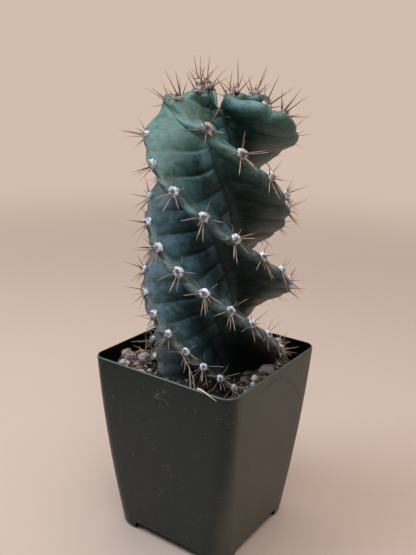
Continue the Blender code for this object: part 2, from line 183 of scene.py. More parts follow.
# %% A graph
class Graph:
    def __init__(self, name, owner=None):
        self.owner = owner or bpy.data.materials.new(name)
        self.owner.use_nodes = True
        self.tree = self.owner.node_tree
        self.tree.nodes.clear()

    def add(self, kind, settings=None, sockets=None, output=0):
        node = self.tree.nodes.new(kind)
        for key, value in (settings or {}).items():
            if key == "stops":
                self.set_stops(node.color_ramp, value)
            else:
                setattr(node, key, value)
        for key, value in (sockets or {}).items():
            if isinstance(value, Value):
                self.tree.links.new(value.socket, node.inputs[key])
            else:
                node.inputs[key].default_value = value
        return Value(self, node.outputs[output]) if node.outputs else None

    @staticmethod
    def set_stops(ramp, stops):
        while len(ramp.elements) < len(stops):
            ramp.elements.new(0.5)
        for element, (place, colour) in zip(ramp.elements, stops):
            element.position = place
            element.color = (*colour, 1.0)

    def show(self, shader, output="Material"):
        self.add("ShaderNodeOutput" + output, sockets={"Surface": shader})
        print(self.owner.name, "takes", len(self.tree.nodes), "nodes")
        return self.owner


print("a graph has:", [name for name in vars(Graph) if name[0] != "_"])

# %% [markdown]
# A finish is a graph that knows what a maker would ask for: a cloudy pattern, a
# value painted on the mesh, a few thin coats of colour over one another, a grain
# that can be felt. A pattern could be laid out on an unwrapped mesh. Here it is laid
# out by its place in the scene, in metres. Nothing has to be unwrapped, and a spot
# is as big as it is on the real thing.

# %% A finish
class Finish(Graph):
    def place(self, what="Position"):
        return self.add("ShaderNodeNewGeometry", output=what)

    def axis(self, which, what="Position"):
        """One coordinate of the place, or of the Normal, which tells where the surface faces."""
        return self.add("ShaderNodeSeparateXYZ", sockets={0: self.place(what)}, output=which)

    def noise(self, size, detail=3.0, rough=0.55, stretch=None):
        """Cloudy pattern from 0 to 1 whose spots are about this size in metres."""
        where = self.place()
        if stretch:
            where = self.add("ShaderNodeVectorMath", {"operation": "MULTIPLY"}, {0: where, 1: stretch})
        sockets = {"Vector": where, "Scale": 1 / size, "Detail": detail, "Roughness": rough}
        return self.add("ShaderNodeTexNoise", sockets=sockets)

    def cells(self, size):
        """Distance to the nearest of many scattered spots, in cells of about this size in metres."""
        sockets = {"Vector": self.place(), "Scale": 1 / size}
        return self.add("ShaderNodeTexVoronoi", sockets=sockets, output="Distance")

    def painted(self, name):
        """A value stored on the mesh's points."""
        return self.add("ShaderNodeAttribute", {"attribute_name": name}, output="Fac")

    def lines(self, name, count):
        """Long soft lines that follow a value stored on the mesh, `count` to each whole step of it."""
        parts = {0: self.painted(name) * count, 1: self.axis("X") * 60.0, 2: self.axis("Y") * 60.0}
        where = self.add("ShaderNodeCombineXYZ", sockets=parts)
        sockets = {"Vector": where, "Scale": 1.0, "Detail": 3.0, "Roughness": 0.6}
        return self.add("ShaderNodeTexNoise", sockets=sockets)

    def mix(self, share, first, second):
        """Colour blend: first where share is 0, second where it is 1."""
        settings = {"data_type": "RGBA"}
        return self.add("ShaderNodeMix", settings, {0: share, 6: colour(first), 7: colour(second)}, 2)

    def coats(self, tone, *coats):
        """Thin coats over a colour, one after another: each is where it lies, and its own colour."""
        for mask, coat in coats:
            tone = self.mix(mask, tone, coat)
        return tone

    def ramp(self, share, stops):
        return self.add("ShaderNodeValToRGB", {"stops": stops}, {0: share})

    def bump(self, height, depth, strength=1.0, under=None):
        sockets = {"Height": height, "Distance": depth, "Strength": strength}
        if under:
            sockets["Normal"] = under
        return self.add("ShaderNodeBump", sockets=sockets)

    def shader(self, **sockets):
        named = {key.replace("_", " ").title().replace("Ior", "IOR"): value for key, value in sockets.items()}
        return self.add("ShaderNodeBsdfPrincipled", sockets=named)

    def surface(self, **sockets):
        return self.show(self.shader(**sockets))

    def grained(self, tone, grain, rough, vary, depth, strength, under=None):
        """A surface whose grain varies how rough it is, and stands out as its relief."""
        normal = self.bump(grain, depth, strength, under)
        return self.surface(base_color=tone, roughness=rough + (grain - 0.5) * vary, normal=normal)


def colour(value):
    return value if isinstance(value, Value) else (*value, 1.0)


print("a finish can make:", [name for name in vars(Finish) if name[0] != "_"])

# %% [markdown]
# ## Mesh helper
#
# Every piece is built from lists of points and faces. One function turns them into
# an object, gives it its material and makes it ride on the only body there is. It
# also takes the node of the part that the piece replaces, and hides it. Rows of
# points that close into a ring are skinned with quads.

# %% Points and faces into a piece
def make_piece(name, points, faces, material, node=None, slot=None, stored=None):
    mesh = bpy.data.meshes.new(name)
    mesh.from_pydata([tuple(p) for p in points], [], [tuple(f) for f in faces])
    mesh.materials.append(material)
    for key, values in (stored or {}).items():
        layer = mesh.attributes.new(key, "FLOAT", "POINT")
        layer.data.foreach_set("value", np.asarray(values, np.float32))
    mesh.polygons.foreach_set("use_smooth", [True] * len(mesh.polygons))
    mesh.update()
    piece = bpy.data.objects.new(name, mesh)
    bpy.context.scene.collection.objects.link(piece)
    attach(piece, "root")
    if node:
        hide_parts(node)
    print(name, "has", sum(len(p.vertices) - 2 for p in mesh.polygons), "triangles")
    return piece


def ring_faces(rows, count):
    """Quads between rows of `count` points that close round, rows stored one after another."""
    faces = []
    for row in range(rows - 1):
        low = row * count
        for i in range(count):
            j = (i + 1) % count
            faces.append((low + i, low + j, low + count + j, low + count + i))
    return faces


def fan(rows, count):
    """Triangles from the last of these rows to one more point, which is stored after it."""
    last = (rows - 1) * count
    return [(last + i, last + (i + 1) % count, rows * count) for i in range(count)]


def closed_faces(rows, count):
    """The quads between the rows, and a face over each end."""
    last = (rows - 1) * count
    return ring_faces(rows, count) + [tuple(reversed(range(count))), tuple(range(last, last + count))]


print("a closed tube of 3 rings of 6 has", len(closed_faces(3, 6)), "faces")

# %% [markdown]
# ## The stem's rule
#
# A spiral cactus is a ribbed column whose growing point turns as it grows, so each
# rib winds round the stem. We could sweep a star along a path with a twist, but a
# formula gives more: the crest's angle falls with height, the radius between a
# crest and the valley beside it follows a club-shaped curve, and the areoles mark
# steps along the crest. Everything on the plant is placed by these functions.

# %% Numbers of the stem
RIBS = 4
STEM_AXIS = (0.0026, 0.0016)
STEM_LEAN = (-0.0150, -0.0100)
STEM_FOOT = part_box("stem")[0].z
STEM_SHOULDER = 0.2035
CREST_HEIGHTS = (STEM_FOOT, 0.068, 0.082, 0.100, 0.122, 0.138, 0.155, 0.172, 0.190, STEM_SHOULDER)
CREST_RADII = (0.0150, 0.0215, 0.0275, 0.0318, 0.0342, 0.0346, 0.0330, 0.0314, 0.0314, 0.0318)
TWIST_MIDDLE = 0.150
TWIST_PITCH = 0.1414
TWIST_TIGHTEN = 0.0755
CREST_ANGLE = math.radians(169)
RIB_DRIFT = (math.radians(3), 0.0, math.radians(-9), math.radians(-1))
RIB_BENDS = (
    (0, 0.1906, math.radians(10.8)), (1, 0.2100, math.radians(5.0)), (2, 0.1123, math.radians(16.3)),
)
BEND_LENGTH = 0.012

CROWN_HEIGHT = 0.0137
CROWN_ARC = 0.038
CROWN_SQUARENESS = 4
TILT = 0.187
TILT_ANGLE = math.radians(170)
TILT_SPAN = (0.195, 0.212)
print("the ribs wind once in", round(TWIST_PITCH * 1000), "mm half way up")

# %% Where the ribs run
def eased(value, low, high):
    """0 below low, 1 above high, smooth between."""
    t = np.clip((np.asarray(value, float) - low) / (high - low), 0, 1)
    return t * t * (3 - 2 * t)


def crown_share(level):
    """A level is a height up to the shoulder, and then goes on over the crown: 1 is its middle."""
    return np.clip((np.asarray(level, float) - STEM_SHOULDER) / CROWN_ARC, 0, 1)


def crest_place(level):
    """Distance from the axis and height of a crest, before the tilt and the swells."""
    a = crown_share(level) * math.pi / 2
    size = (np.cos(a) ** CROWN_SQUARENESS + np.sin(a) ** CROWN_SQUARENESS) ** (1 / CROWN_SQUARENESS)
    over = level > STEM_SHOULDER
    radius = np.where(over, CREST_RADII[-1] * np.cos(a) / size, np.interp(level, CREST_HEIGHTS, CREST_RADII))
    return radius, np.where(over, STEM_SHOULDER + CROWN_HEIGHT * np.sin(a) / size, level)


def rib_turn(rib, z):
    """Angle of a rib at a height: it falls to the right, the twist tightens upwards, and a rib wanders."""
    u = (z - TWIST_MIDDLE) / 0.1
    turns = (z - TWIST_MIDDLE) / TWIST_PITCH + TWIST_TIGHTEN * u * u
    turn = CREST_ANGLE - math.tau * (turns + rib / RIBS) + RIB_DRIFT[rib]
    for bent, middle, angle in RIB_BENDS:
        if bent == rib:
            turn = turn + angle * np.exp(-((z - middle) / BEND_LENGTH) ** 2)
    return turn


def crest_angle(rib, level):
    """Angle of a crest at a level. Ribs are counted on past the last and before the first."""
    lap, rib = divmod(rib, RIBS)
    radius, z = crest_place(level)
    lift = TILT * eased(z, *TILT_SPAN) * radius * np.cos(rib_turn(rib, z) - TILT_ANGLE)
    return rib_turn(rib, z + lift) - math.tau * lap


def axis_point(z):
    """Point of the stem's leaning axis at a height."""
    z = np.asarray(z, float)
    up = z - TWIST_MIDDLE
    return np.stack([STEM_AXIS[0] + STEM_LEAN[0] * up, STEM_AXIS[1] + STEM_LEAN[1] * up, z], -1)


print("crests stand", round(float(crest_place(0.138)[0]) * 1000, 1), "mm from the axis at the widest")

# %% Levels of the areoles
AREOLE_START = 0.090
AREOLE_STEP = 0.0058
AREOLE_GROWTH = 0.045
AREOLE_PHASE = (0.55, 0.20, 0.50, 0.66)
AREOLE_RANGE = (-6, 15)
CROWN_AREOLES = ((0.44, 0.58, 0.88), (0.16, 0.51, 0.76), (0.17, 0.58, 0.80), (0.18, 0.59, 0.80))


def areole_levels(rib):
    """Levels of a rib's areoles from under the mix to the crown's middle, further apart higher up."""
    levels = []
    for number in range(*AREOLE_RANGE):
        growth = math.exp(AREOLE_GROWTH * (number + AREOLE_PHASE[rib])) - 1
        level = AREOLE_START + AREOLE_STEP * growth / AREOLE_GROWTH
        if level < STEM_SHOULDER - 0.001:
            levels.append(level)
    return np.array(levels + [STEM_SHOULDER + share * CROWN_ARC for share in CROWN_AREOLES[rib]])


AREOLE_LEVELS = [areole_levels(rib) for rib in range(RIBS)]


def areole_count(rib, level):
    """Whole at an areole, a half in the furrow between two."""
    levels = AREOLE_LEVELS[rib]
    return np.interp(level, levels, np.arange(len(levels)), left=-0.5, right=len(levels) - 0.5)


print("areoles on each rib:", [len(levels) for levels in AREOLE_LEVELS])

# %% [markdown]
# A rib isn't the same on both sides. The side that faces up is steep and scooped,
# the side that faces down is fuller, and the areoles sit near the upper edge of its
# rounded nose. `across` runs from -1 in the valley under a rib, through 0 at its
# areoles, to 1 in the valley over it. On the crown the ribs get thinner and meet in
# a small pit, where the plant grows.

# %% Numbers of a rib
UPPER_WIDTH = 0.200
LOWER_WIDTH = 0.270
RIB_FULLNESS = (1.08, 0.95, 0.96, 1.03)
NOSE_ROUNDNESS = 4.6
FLANK_FALL = 0.78
NOSE_SHIFT = 0.09
VALLEY_RADIUS = 0.0082
CREST_SWELL = 0.0006
FOLD_RISE = 0.0035
CROWN_SPAN = (0.183, 0.210)
CROWN_SHIFT = 0.176
CROWN_WIDTH = 0.281
CROWN_VALLEY = 0.0044
CROWN_SINK = 0.43
CROWN_PIT = (0.78, 1.0)
CROWN_SWELL = 0.0022
SWELL_START = 0.080
SWELL_FULL = 0.090
print("crest swells", CREST_SWELL * 1000, "mm on the stem and", CROWN_SWELL * 1000, "mm on the crown")

# %% The shape of one rib
def club(share, width):
    """Club-shaped profile: 1 on the nose, 0 in the valley."""
    edge = (1 + (1 / width) ** NOSE_ROUNDNESS) ** -FLANK_FALL
    return ((1 + (np.abs(share) / width) ** NOSE_ROUNDNESS) ** -FLANK_FALL - edge) / (1 - edge)


def rib_fill(rib, across, crown):
    """How far the section stands out: 0 in a valley, 1 at the areole, a little more on the nose."""
    shift = NOSE_SHIFT + (CROWN_SHIFT - NOSE_SHIFT) * crown
    upper = UPPER_WIDTH + (CROWN_WIDTH - UPPER_WIDTH) * crown
    share = across + shift * (1 - across * across)
    lower = LOWER_WIDTH * RIB_FULLNESS[rib]
    return np.where(share < 0, club(share, lower), club(share, upper)) / club(shift, upper)


def rib_surface(rib, across, level):
    """Points of a rib, and its fill, for arrays of across and level that fit each other."""
    level = np.asarray(level, float)
    crest = crest_angle(rib, level)
    neighbour = np.where(across < 0, crest_angle(rib + 1, level), crest_angle(rib - 1, level))
    angle = crest + (neighbour - crest) * np.abs(across) / 2
    crest_r, z = crest_place(level)
    crown = eased(z, *CROWN_SPAN)
    fill = rib_fill(rib, across, crown)
    flat = np.minimum(fill, 1)
    closing = np.where(level > STEM_SHOULDER, 1 - crest_r / CREST_RADII[-1], 0)
    valley = (VALLEY_RADIUS + (CROWN_VALLEY - VALLEY_RADIUS) * crown) * (1 - closing) ** 0.6
    share = crown_share(level)
    swell = 0.5 * np.cos(math.tau * areole_count(rib, level - FOLD_RISE * np.clip(across, 0, 1)))
    faded = (swell + 0.5) * np.clip((level - SWELL_START) / 0.01, 0, 1) - 0.5
    swell = np.where(level < SWELL_FULL, faded, swell)
    relief = (CREST_SWELL + (CROWN_SWELL - CREST_SWELL) * share) * flat * swell * (1 - share ** 4)
    out = valley + (crest_r - valley) * fill + relief * np.cos(share * math.pi / 2)
    z = z + relief * np.sin(share * math.pi / 2)
    over = np.clip(z - STEM_SHOULDER, 0, None) * (closing > 0)
    z = z - over * CROWN_SINK * (1 - flat * (1 - eased(closing, *CROWN_PIT)))
    x = out * np.cos(angle)
    y = out * np.sin(angle)
    points = axis_point(z)
    points[..., 0] += x
    points[..., 1] += y
    points[..., 2] += TILT * eased(z, *TILT_SPAN) * (x * math.cos(TILT_ANGLE) + y * math.sin(TILT_ANGLE))
    return points, fill


print("two fifths down its lower flank a rib fills", round(float(rib_fill(0, -0.4, 0.0)), 2))

# %% A frame on the crest
CREST_STEP = 0.001
AIM_DEPTH = 0.008
AREOLE_UPTURN = 0.2


def crest_frame(rib, level):
    """Place, outward direction and direction along the rib at a point of its crest."""
    spots = rib_surface(rib, np.zeros(3), np.array([level - CREST_STEP, level, level + CREST_STEP]))[0]
    behind, at, ahead = [Vector(spot) for spot in spots]
    along = (ahead - behind).normalized()
    outward = at - Vector(axis_point(min(at.z, STEM_SHOULDER - AIM_DEPTH)))
    outward = outward.normalized() + Vector((0, 0, AREOLE_UPTURN))
    outward = (outward - along * outward.dot(along)).normalized()
    return at, outward, along


print("first rib meets the shoulder at", [round(c * 1000, 1) for c in crest_frame(0, STEM_SHOULDER)[0]], "mm")

# %% [markdown]
# ## Skin
#
# The skin swells at every areole and folds half way to the next, like a concertina
# that lets the plant fill with water. Each fold is fullest at its top, under a narrow
# furrow, and thins out downwards. Folds are strongest on the upper flank. They push
# the surface along its own normal, so the grid is made first, its normals are
# measured, and then it moves.

# %% Skin grid
SKIN_COLUMNS = 52
SKIN_ROWS = 300
CROWN_SKIN_ROWS = 66
BURIED_LEVELS = (0.064, 0.072)
SKIN_START = 0.077


def skin_levels():
    low = np.array([STEM_FOOT + 0.004, *BURIED_LEVELS])
    body = np.linspace(SKIN_START, STEM_SHOULDER, SKIN_ROWS)
    crown = STEM_SHOULDER + CROWN_ARC * np.linspace(0, 0.985, CROWN_SKIN_ROWS + 1)[1:]
    return np.concatenate([low, body, crown])


def skin_grid():
    """Grid of points with, for each, its rib number, across, fill, areole count and level."""
    level = skin_levels()[:, None]
    columns = []
    step = np.linspace(-1, 1, SKIN_COLUMNS, endpoint=False)
    across = (np.sign(step) * np.abs(step) ** 1.15)[None] + 0 * level
    for rib in reversed(range(RIBS)):
        points, fill = rib_surface(rib, across, level + 0 * across)
        turn = areole_count(rib, level - FOLD_RISE * np.clip(across, 0, 1))
        columns.append((points, fill, across, turn, level + 0 * across, np.full(fill.shape, rib)))
    return [np.concatenate([c[i] for c in columns], axis=1) for i in range(6)]


def grid_normals(points):
    along = np.roll(points, -1, axis=1) - np.roll(points, 1, axis=1)
    up = np.gradient(points, axis=0)
    normal = np.cross(along, up)
    return normal / np.maximum(np.linalg.norm(normal, axis=-1, keepdims=True), 1e-12)


def noise_at(points, size, seed=0.0):
    """Smooth noise from about -1 to 1 at each point, in spots of about this size in metres."""
    shift = Vector((seed, seed * 1.7, 0))
    flat = [noise.noise(Vector(p) / size + shift) for p in points.reshape(-1, 3)]
    return np.array(flat).reshape(points.shape[:-1])


points, fill, across, turn, level, rib_number = skin_grid()
print("skin grid", points.shape)

# %% Folds
FOLD_UPPER = 0.0021
FOLD_LOWER = 0.0006
FOLD_SPAN = (0.098, 0.142)
LEDGE = 0.09


def hump(across, middle, width):
    return np.exp(-((across - middle) / width) ** 2)


def fold_strength(points, across, level):
    """Folds are strongest half way down a flank, and no two are alike."""
    side = np.where(across > 0, FOLD_UPPER, FOLD_LOWER)
    flank = eased(np.abs(across), 0.02, 0.24) * (1 - eased(np.abs(across), 0.50, 0.95))
    fade = (0.15 + 0.85 * eased(level, *FOLD_SPAN)) * (1 - crown_share(level)) ** 0.8
    return side * flank * fade * np.clip(0.9 + 0.9 * noise_at(points, 0.016, 4.0), 0.2, 1.6)


down = (0.5 + 0.035 * noise_at(points, 0.009, 6.0) - turn) % 1
bulge = (1 - np.exp(-(down / LEDGE) ** 1.5)) * np.cos(down * math.pi / 2) ** 0.8
folds = fold_strength(points, across, level) * (bulge - 0.65)
print("from the deepest furrow to the fullest fold:", round(float(np.ptp(folds)) * 1000, 2), "mm")

# %% [markdown]
# A crest is more than the edge between two flanks. On the old stem it is a rope,
# full under the areoles, with a groove beneath it. On the crown it is young and
# narrow: its shoulders fall away on both sides, and it dips between the areoles.

# %% Ropes and dips
ROPE = 0.0012
CROWN_ROPE = 0.0028
CROWN_LIFT = 0.0010
CROWN_FLANK = np.array((0.0040, 0.0, 0.0022, 0.0022))
ROPE_START = 0.078
NOSE_DIP = 0.0006
CROWN_DIP = 0.0020


def risen(level):
    """0 for what the mix buries, 1 above it."""
    return np.clip((level - ROPE_START) / 0.01, 0, 1)


def rope(rib, across, level):
    """The nose is a rounded cord: full under the areoles, cut back over them, with a groove beneath."""
    crown = eased(level, 0.180, 0.206)
    groove = 0.8 * hump(across, -0.52, 0.14)
    over = 0.5 * hump(across, 0.26, 0.12)
    body = ROPE * (hump(across, -0.14, 0.16) - groove - over)
    flat_top = np.exp(-(np.abs(across + 0.14) / 0.33) ** 4)
    shoulders = (1 - flat_top) * (1 - eased(np.abs(across), 0.55, 0.95))
    top = CROWN_LIFT * hump(across, -0.08, 0.22) + CROWN_FLANK[rib] * hump(across, -0.42, 0.26)
    top -= CROWN_ROPE * (shoulders + 0.6 * hump(across, 0.36, 0.17))
    cord = body * (1 - crown) + top * crown
    return cord * risen(level) * (1 - crown_share(level) ** 3)


deepest = NOSE_DIP + (CROWN_DIP - NOSE_DIP) * eased(level, 0.185, 0.206)
between_areoles = 0.5 - 0.5 * np.cos(math.tau * turn)
dip = deepest * hump(across, -0.05, 0.20) * (1 - crown_share(level) ** 2) * between_areoles
relief = folds + rope(rib_number, across, level) - dip
uneven = 0.0007 * noise_at(points, 0.014) + 0.0002 * noise_at(points, 0.004, 9.0)
quiet = np.clip(1 - crown_share(level), 0.15, 1) * risen(level)
points = points + grid_normals(points) * (relief + uneven * quiet)[..., None]
print("relief spans", round(float(np.ptp(relief)) * 1000, 2), "mm")

# %% [markdown]
# ## Skin colours
#
# The skin's colour tells its age. Old skin low down is grey-blue, young skin at the
# crown is green, and the young noses are paler green, partly a painted highlight. A
# pale bluish coat lies on whatever bulges up to the light: partly waxy bloom, partly a
# painted highlight, also painted on the upper flank near the valley to lighten the
# shade there. Painted light makes the upper flank bluer and lighter than the lower.
# Painted shade leaves the furrows almost black and darkens the groove under the
# young cord, the valley bottoms and the foot of the stem, and dark streaks run over
# the lower flank. A picture could be wrapped round the stem, but it would be
# stretched over the folds. So each colour is a thin coat, whose mask comes from values
# stored on the mesh and is broken up by noise, so that none has a hard edge.

# %% Skin finish
def skin_finish():
    f = Finish("cactus skin")
    bulge, side, crest, young = [f.painted(name) for name in ("bulge", "side", "crest", "young")]
    aside = side.sum("ABSOLUTE")
    cloud = f.noise(0.010, 4.0, 0.6)
    mottle = f.noise(0.0038, 6.0, 0.75)
    grain = f.noise(0.0010, 5.0, 0.7)
    streak = f.lines("turn", 6.0)
    upper = side.between(-0.12, 0.20)
    # painted light: the upper flank gets a lighter, bluer tone and the lower flank a darker olive, as the
    # cool light above and the warm room fall on them
    shaded_olive = f.mix(cloud, (0.027, 0.045, 0.038), (0.056, 0.090, 0.078))
    lit_blue = f.mix(cloud, (0.030, 0.064, 0.068), (0.056, 0.110, 0.122))
    fresh = f.mix(cloud, (0.022, 0.070, 0.046), (0.058, 0.150, 0.108))
    youth = (young * 1.1 + (cloud - 0.5) * 0.5).between(0.15, 0.95)
    # partly waxy bloom, partly a painted highlight: pale on fold tops and crests, and on the upper flank near
    # the valley, where it lightens the shade
    light = bulge * 0.45 + upper * 0.15 + crest * 0.25 + side.between(0.25, 0.60) * 0.25
    bloom_and_highlight = (light + (mottle - 0.5) * 1.6 + (cloud - 0.5) * 1.2).between(0.40, 1.15)
    # painted shade in the furrow under each fold on the upper flank; on the lower flank the same coat lays
    # real dark streaks
    crease_shade = (1 - bulge).between(0.50, 1.0) * upper * 0.75
    furrow = crease_shade + streak.between(0.52, 0.68) * (1 - upper) * 0.55
    # the paler green of young noses, and partly a painted highlight on them
    nose = aside.between(0.42, 0.12) * young.between(0.1, 0.8) * mottle.between(0.30, 0.60)
    # painted shade in the groove under the young rib's cord
    under = (side + 0.62).sum("ABSOLUTE").between(0.26, 0.05) * young.between(0.1, 0.6)
    # painted shade low on the stem, where it leaves the mix
    foot = f.axis("Z").between(0.116, 0.092) + (cloud - 0.5) * 0.4
    seam = aside.between(0.045, 0.0) * mottle.between(0.42, 0.55) * (1 - young)
    speck = f.cells(0.0015).between(0.17, 0.06) * grain.between(0.52, 0.66)
    scar = f.painted("scar").between(0.15, 0.6) * grain.between(0.38, 0.50)
    tone = f.coats(
        f.mix(upper, shaded_olive, lit_blue),
        (youth * 0.8, fresh),
        (mottle.between(0.60, 0.36) * 0.55, (0.010, 0.021, 0.020)),
        (bloom_and_highlight * 0.75, (0.092, 0.178, 0.225)),
        (furrow, (0.009, 0.017, 0.018)),
        (nose * 0.5, (0.066, 0.150, 0.108)),
        (under * 0.5, (0.010, 0.022, 0.022)),
        # painted shade: a dark line along the bottom of each valley
        (aside.between(0.78, 0.97) * 0.7, (0.006, 0.011, 0.014)),
        (foot.between(0.1, 0.9) * 0.85, (0.007, 0.011, 0.013)),
        (seam * 0.6, (0.105, 0.085, 0.050)),
        (speck * 0.5, (0.19, 0.25, 0.24)),
        (scar, (0.46, 0.36, 0.22)),
    )
    rough = 0.42 + bloom_and_highlight * 0.20 + (grain - 0.5) * 0.25 + (1 - crest).between(0.8, 1.0) * 0.3
    fine = f.bump(grain, 0.00022, 0.7)
    lined = f.bump(streak, 0.0004, 0.5, under=fine)
    normal = f.bump(mottle, 0.0008, 0.5, under=lined)
    return f.surface(base_color=tone, roughness=rough, normal=normal, specular_ior_level=0.42)


skin_material = skin_finish()

# %% Skin piece
SCARS = ((2, 0.1592, -0.14, 0.0014), (2, 0.1576, -0.20, 0.0012), (3, 0.1445, 0.03, 0.0009))
YOUNG_START = 0.158
YOUNG_LENGTH = 0.045


def scar_mask(points):
    """Dry corky marks: 1 inside a few uneven spots."""
    mask = np.zeros(points.shape[:2])
    for rib, height, side, size in SCARS:
        centre = rib_surface(rib, np.array([side]), np.array([height]))[0][0]
        gap = np.linalg.norm(points - centre, axis=-1)
        mask = np.maximum(mask, np.clip(1.4 - gap / size, 0, 1))
    return mask


rows, count = bulge.shape
crown_tip = points[-1].mean(axis=0)
skin_points = np.concatenate([points.reshape(-1, 3), [crown_tip]])
skin_faces = ring_faces(rows, count) + fan(rows, count) + [tuple(reversed(range(count)))]
young = np.clip((points[..., 2] - YOUNG_START) / YOUNG_LENGTH, 0, 1)
grids = {
    "bulge": (bulge, 0.4), "side": (across, 1.0), "turn": (turn, 0.0),
    "crest": (fill, 0.5), "young": (young, 1.0), "scar": (scar_mask(points), 0.0),
}
skin_stored = {key: np.append(grid.ravel(), at_tip) for key, (grid, at_tip) in grids.items()}
make_piece("stem_skin", skin_points, skin_faces, skin_material, "stem", "cactus_skin", stored=skin_stored)

# %% [markdown]
# ## The mix's surface
#
# Spines and litter must clear the mix, so its height comes before them. It is a
# rough level with a mound in one corner, where grit has piled up. A function of x
# and y serves better than a mesh here, because every later step can ask it for the
# height under a grain or a spine. The coarse grains are the part's own, redrawn
# from its seed.

# %% Height of the mix
MIX_LEVEL = 0.0815
MOUND_CENTRE = (-0.030, -0.018)
MOUND_HEIGHT = 0.0075
MOUND_RADIUS = 0.0125
GRAIN_COUNT = 110
GRAIN_HEIGHT = 0.0011
GRAIN_SIZES = (0.0016, 0.0034)
GRAIN_REACH = RIM_SIDE / 2 - 0.004


def grain_spots():
    """Place and size of each coarse grain."""
    draw = random.Random(SEED + 1)
    limits = ((-GRAIN_REACH, GRAIN_REACH), (-GRAIN_REACH, GRAIN_REACH), GRAIN_SIZES)
    return [[draw.uniform(*span) for span in limits] for _ in range(GRAIN_COUNT)]


GRAINS = grain_spots()


def mound(x, y, centre, height, radius):
    """Height of a soft heap at a place."""
    dx, dy = x - centre[0], y - centre[1]
    return height * math.exp(-(dx * dx + dy * dy) / (radius * radius))


def mix_height(x, y):
    z = MIX_LEVEL + 0.0009 * noise.noise(Vector((x * 110, y * 110, 3.0)))
    z += mound(x, y, MOUND_CENTRE, MOUND_HEIGHT, MOUND_RADIUS)
    rise = 0.0
    for gx, gy, size in GRAINS:
        near = ((x - gx) ** 2 + (y - gy) ** 2) / (size * size)
        if near < 1:
            rise = max(rise, GRAIN_HEIGHT * math.sqrt(1 - near))
    return z + rise


print("mound top", round(mix_height(*MOUND_CENTRE) * 1000, 1), "mm")

# %% Stones and chips that lie on it
LOOSE = [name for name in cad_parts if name.startswith(("pumice_stone", "bark_chip"))]


def loose_footprints():
    """Middle, reach and top of each loose stone and chip, read from the frame."""
    spots = []
    for name in LOOSE:
        low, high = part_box(name)
        middle = (low + high) / 2
        spots.append((middle.x, middle.y, max(high.x - low.x, high.y - low.y) / 2, high.z))
    return spots


FOOTPRINTS = loose_footprints()
print("loose pieces:", LOOSE)

# %% [markdown]
# ## Areoles
#
# An areole is the cactus's own kind of bud, a pad of short wool on the crest from
# which the spines grow. They are laid out by the part's rule: steps along the rib
# that get wider upwards, because the plant grew faster, and three more on the crown.

# %% Where the areoles sit
AREOLE_CLEARANCE = 0.0030


def areoles():
    """Rib and level of every areole above the mix."""
    spots = []
    for rib in range(RIBS):
        for level in AREOLE_LEVELS[rib]:
            at = rib_surface(rib, np.zeros(1), np.array([level]))[0][0]
            if mix_height(at[0], at[1]) + AREOLE_CLEARANCE < at[2]:
                spots.append((rib, float(level)))
    return spots


AREOLES = areoles()
print(len(AREOLES), "areoles")

# %% [markdown]
# Threads, spines, straws and twigs are all thin tapered tubes. A curve with a bevel
# would do for one of them. For thousands it is lighter to work out the rings of
# points and to gather them in one heap, which becomes a single piece.

# %% A tapered tube
def tube(path, radii, sides):
    """Points and faces of a closed tapered tube along a path."""
    points = []
    count = len(path)
    way = (path[1] - path[0]).normalized()
    side = way.orthogonal().normalized()
    for i, spot in enumerate(path):
        way = (path[min(i + 1, count - 1)] - path[max(i - 1, 0)]).normalized()
        side = (side - way * side.dot(way)).normalized()
        other = way.cross(side)
        for step in range(sides):
            a = step / sides * math.tau
            points.append(spot + (side * math.cos(a) + other * math.sin(a)) * radii[i])
    return points, closed_faces(count, sides)


print("a pin of 2 rings of 6 has", len(tube([Vector((0, 0, 0)), Vector((0, 0, 1))], [1, 1], 6)[1]), "faces")

# %% A heap and a ball
class Heap:
    """Many small closed shapes gathered into one piece, with values stored on their points."""

    def __init__(self, *stored):
        self.points = []
        self.faces = []
        self.stored = {key: [] for key in stored}

    def put(self, points, faces, **values):
        first = len(self.points)
        self.points += points
        self.faces += [tuple(first + i for i in face) for face in faces]
        for key, value in values.items():
            self.stored[key] += list(value) if hasattr(value, "__len__") else [value] * len(points)

    def piece(self, name, material, **options):
        return make_piece(name, self.points, self.faces, material, stored=self.stored, **options)


def ball(subdivisions):
    bm = bmesh.new()
    bmesh.ops.create_icosphere(bm, subdivisions=subdivisions, radius=1.0)
    points = [v.co.copy() for v in bm.verts]
    faces = [tuple(v.index for v in f.verts) for f in bm.faces]
    bm.free()
    return points, faces


BALL = {n: ball(n) for n in (1, 2, 3)}
print("balls have", [len(BALL[n][1]) for n in BALL], "faces")

# %% [markdown]
# ## Wool
#
# Wool is a crowd of fine curled hairs. Blender's hair system would do it, but
# hairs don't travel with an exported mesh, so each tuft is a lumpy cushion covered
# with short tapered threads, three sides each, drawn with a fixed seed. Tufts low
# down are smaller, since they date from when the plant was a seedling.

# %% One tuft of wool
PAD_RADIUS = 0.0019
PAD_HEIGHT = 0.0012
THREADS = 64
THREAD_RADIUS = 0.00007
THREAD_TAPER = (1.0, 0.9, 0.3)
SEEDLING_SPAN = (0.095, 0.150)
YOUNG_WOOL = 0.205
AGEING = 0.03


def vigour(height):
    """0 for what the seedling grew, 1 for what the grown plant did."""
    return eased(height, *SEEDLING_SPAN)


def aged_at(level):
    """0 on the crown, 1 low down."""
    return min(max((YOUNG_WOOL - level) / AGEING, 0.0), 1.0)


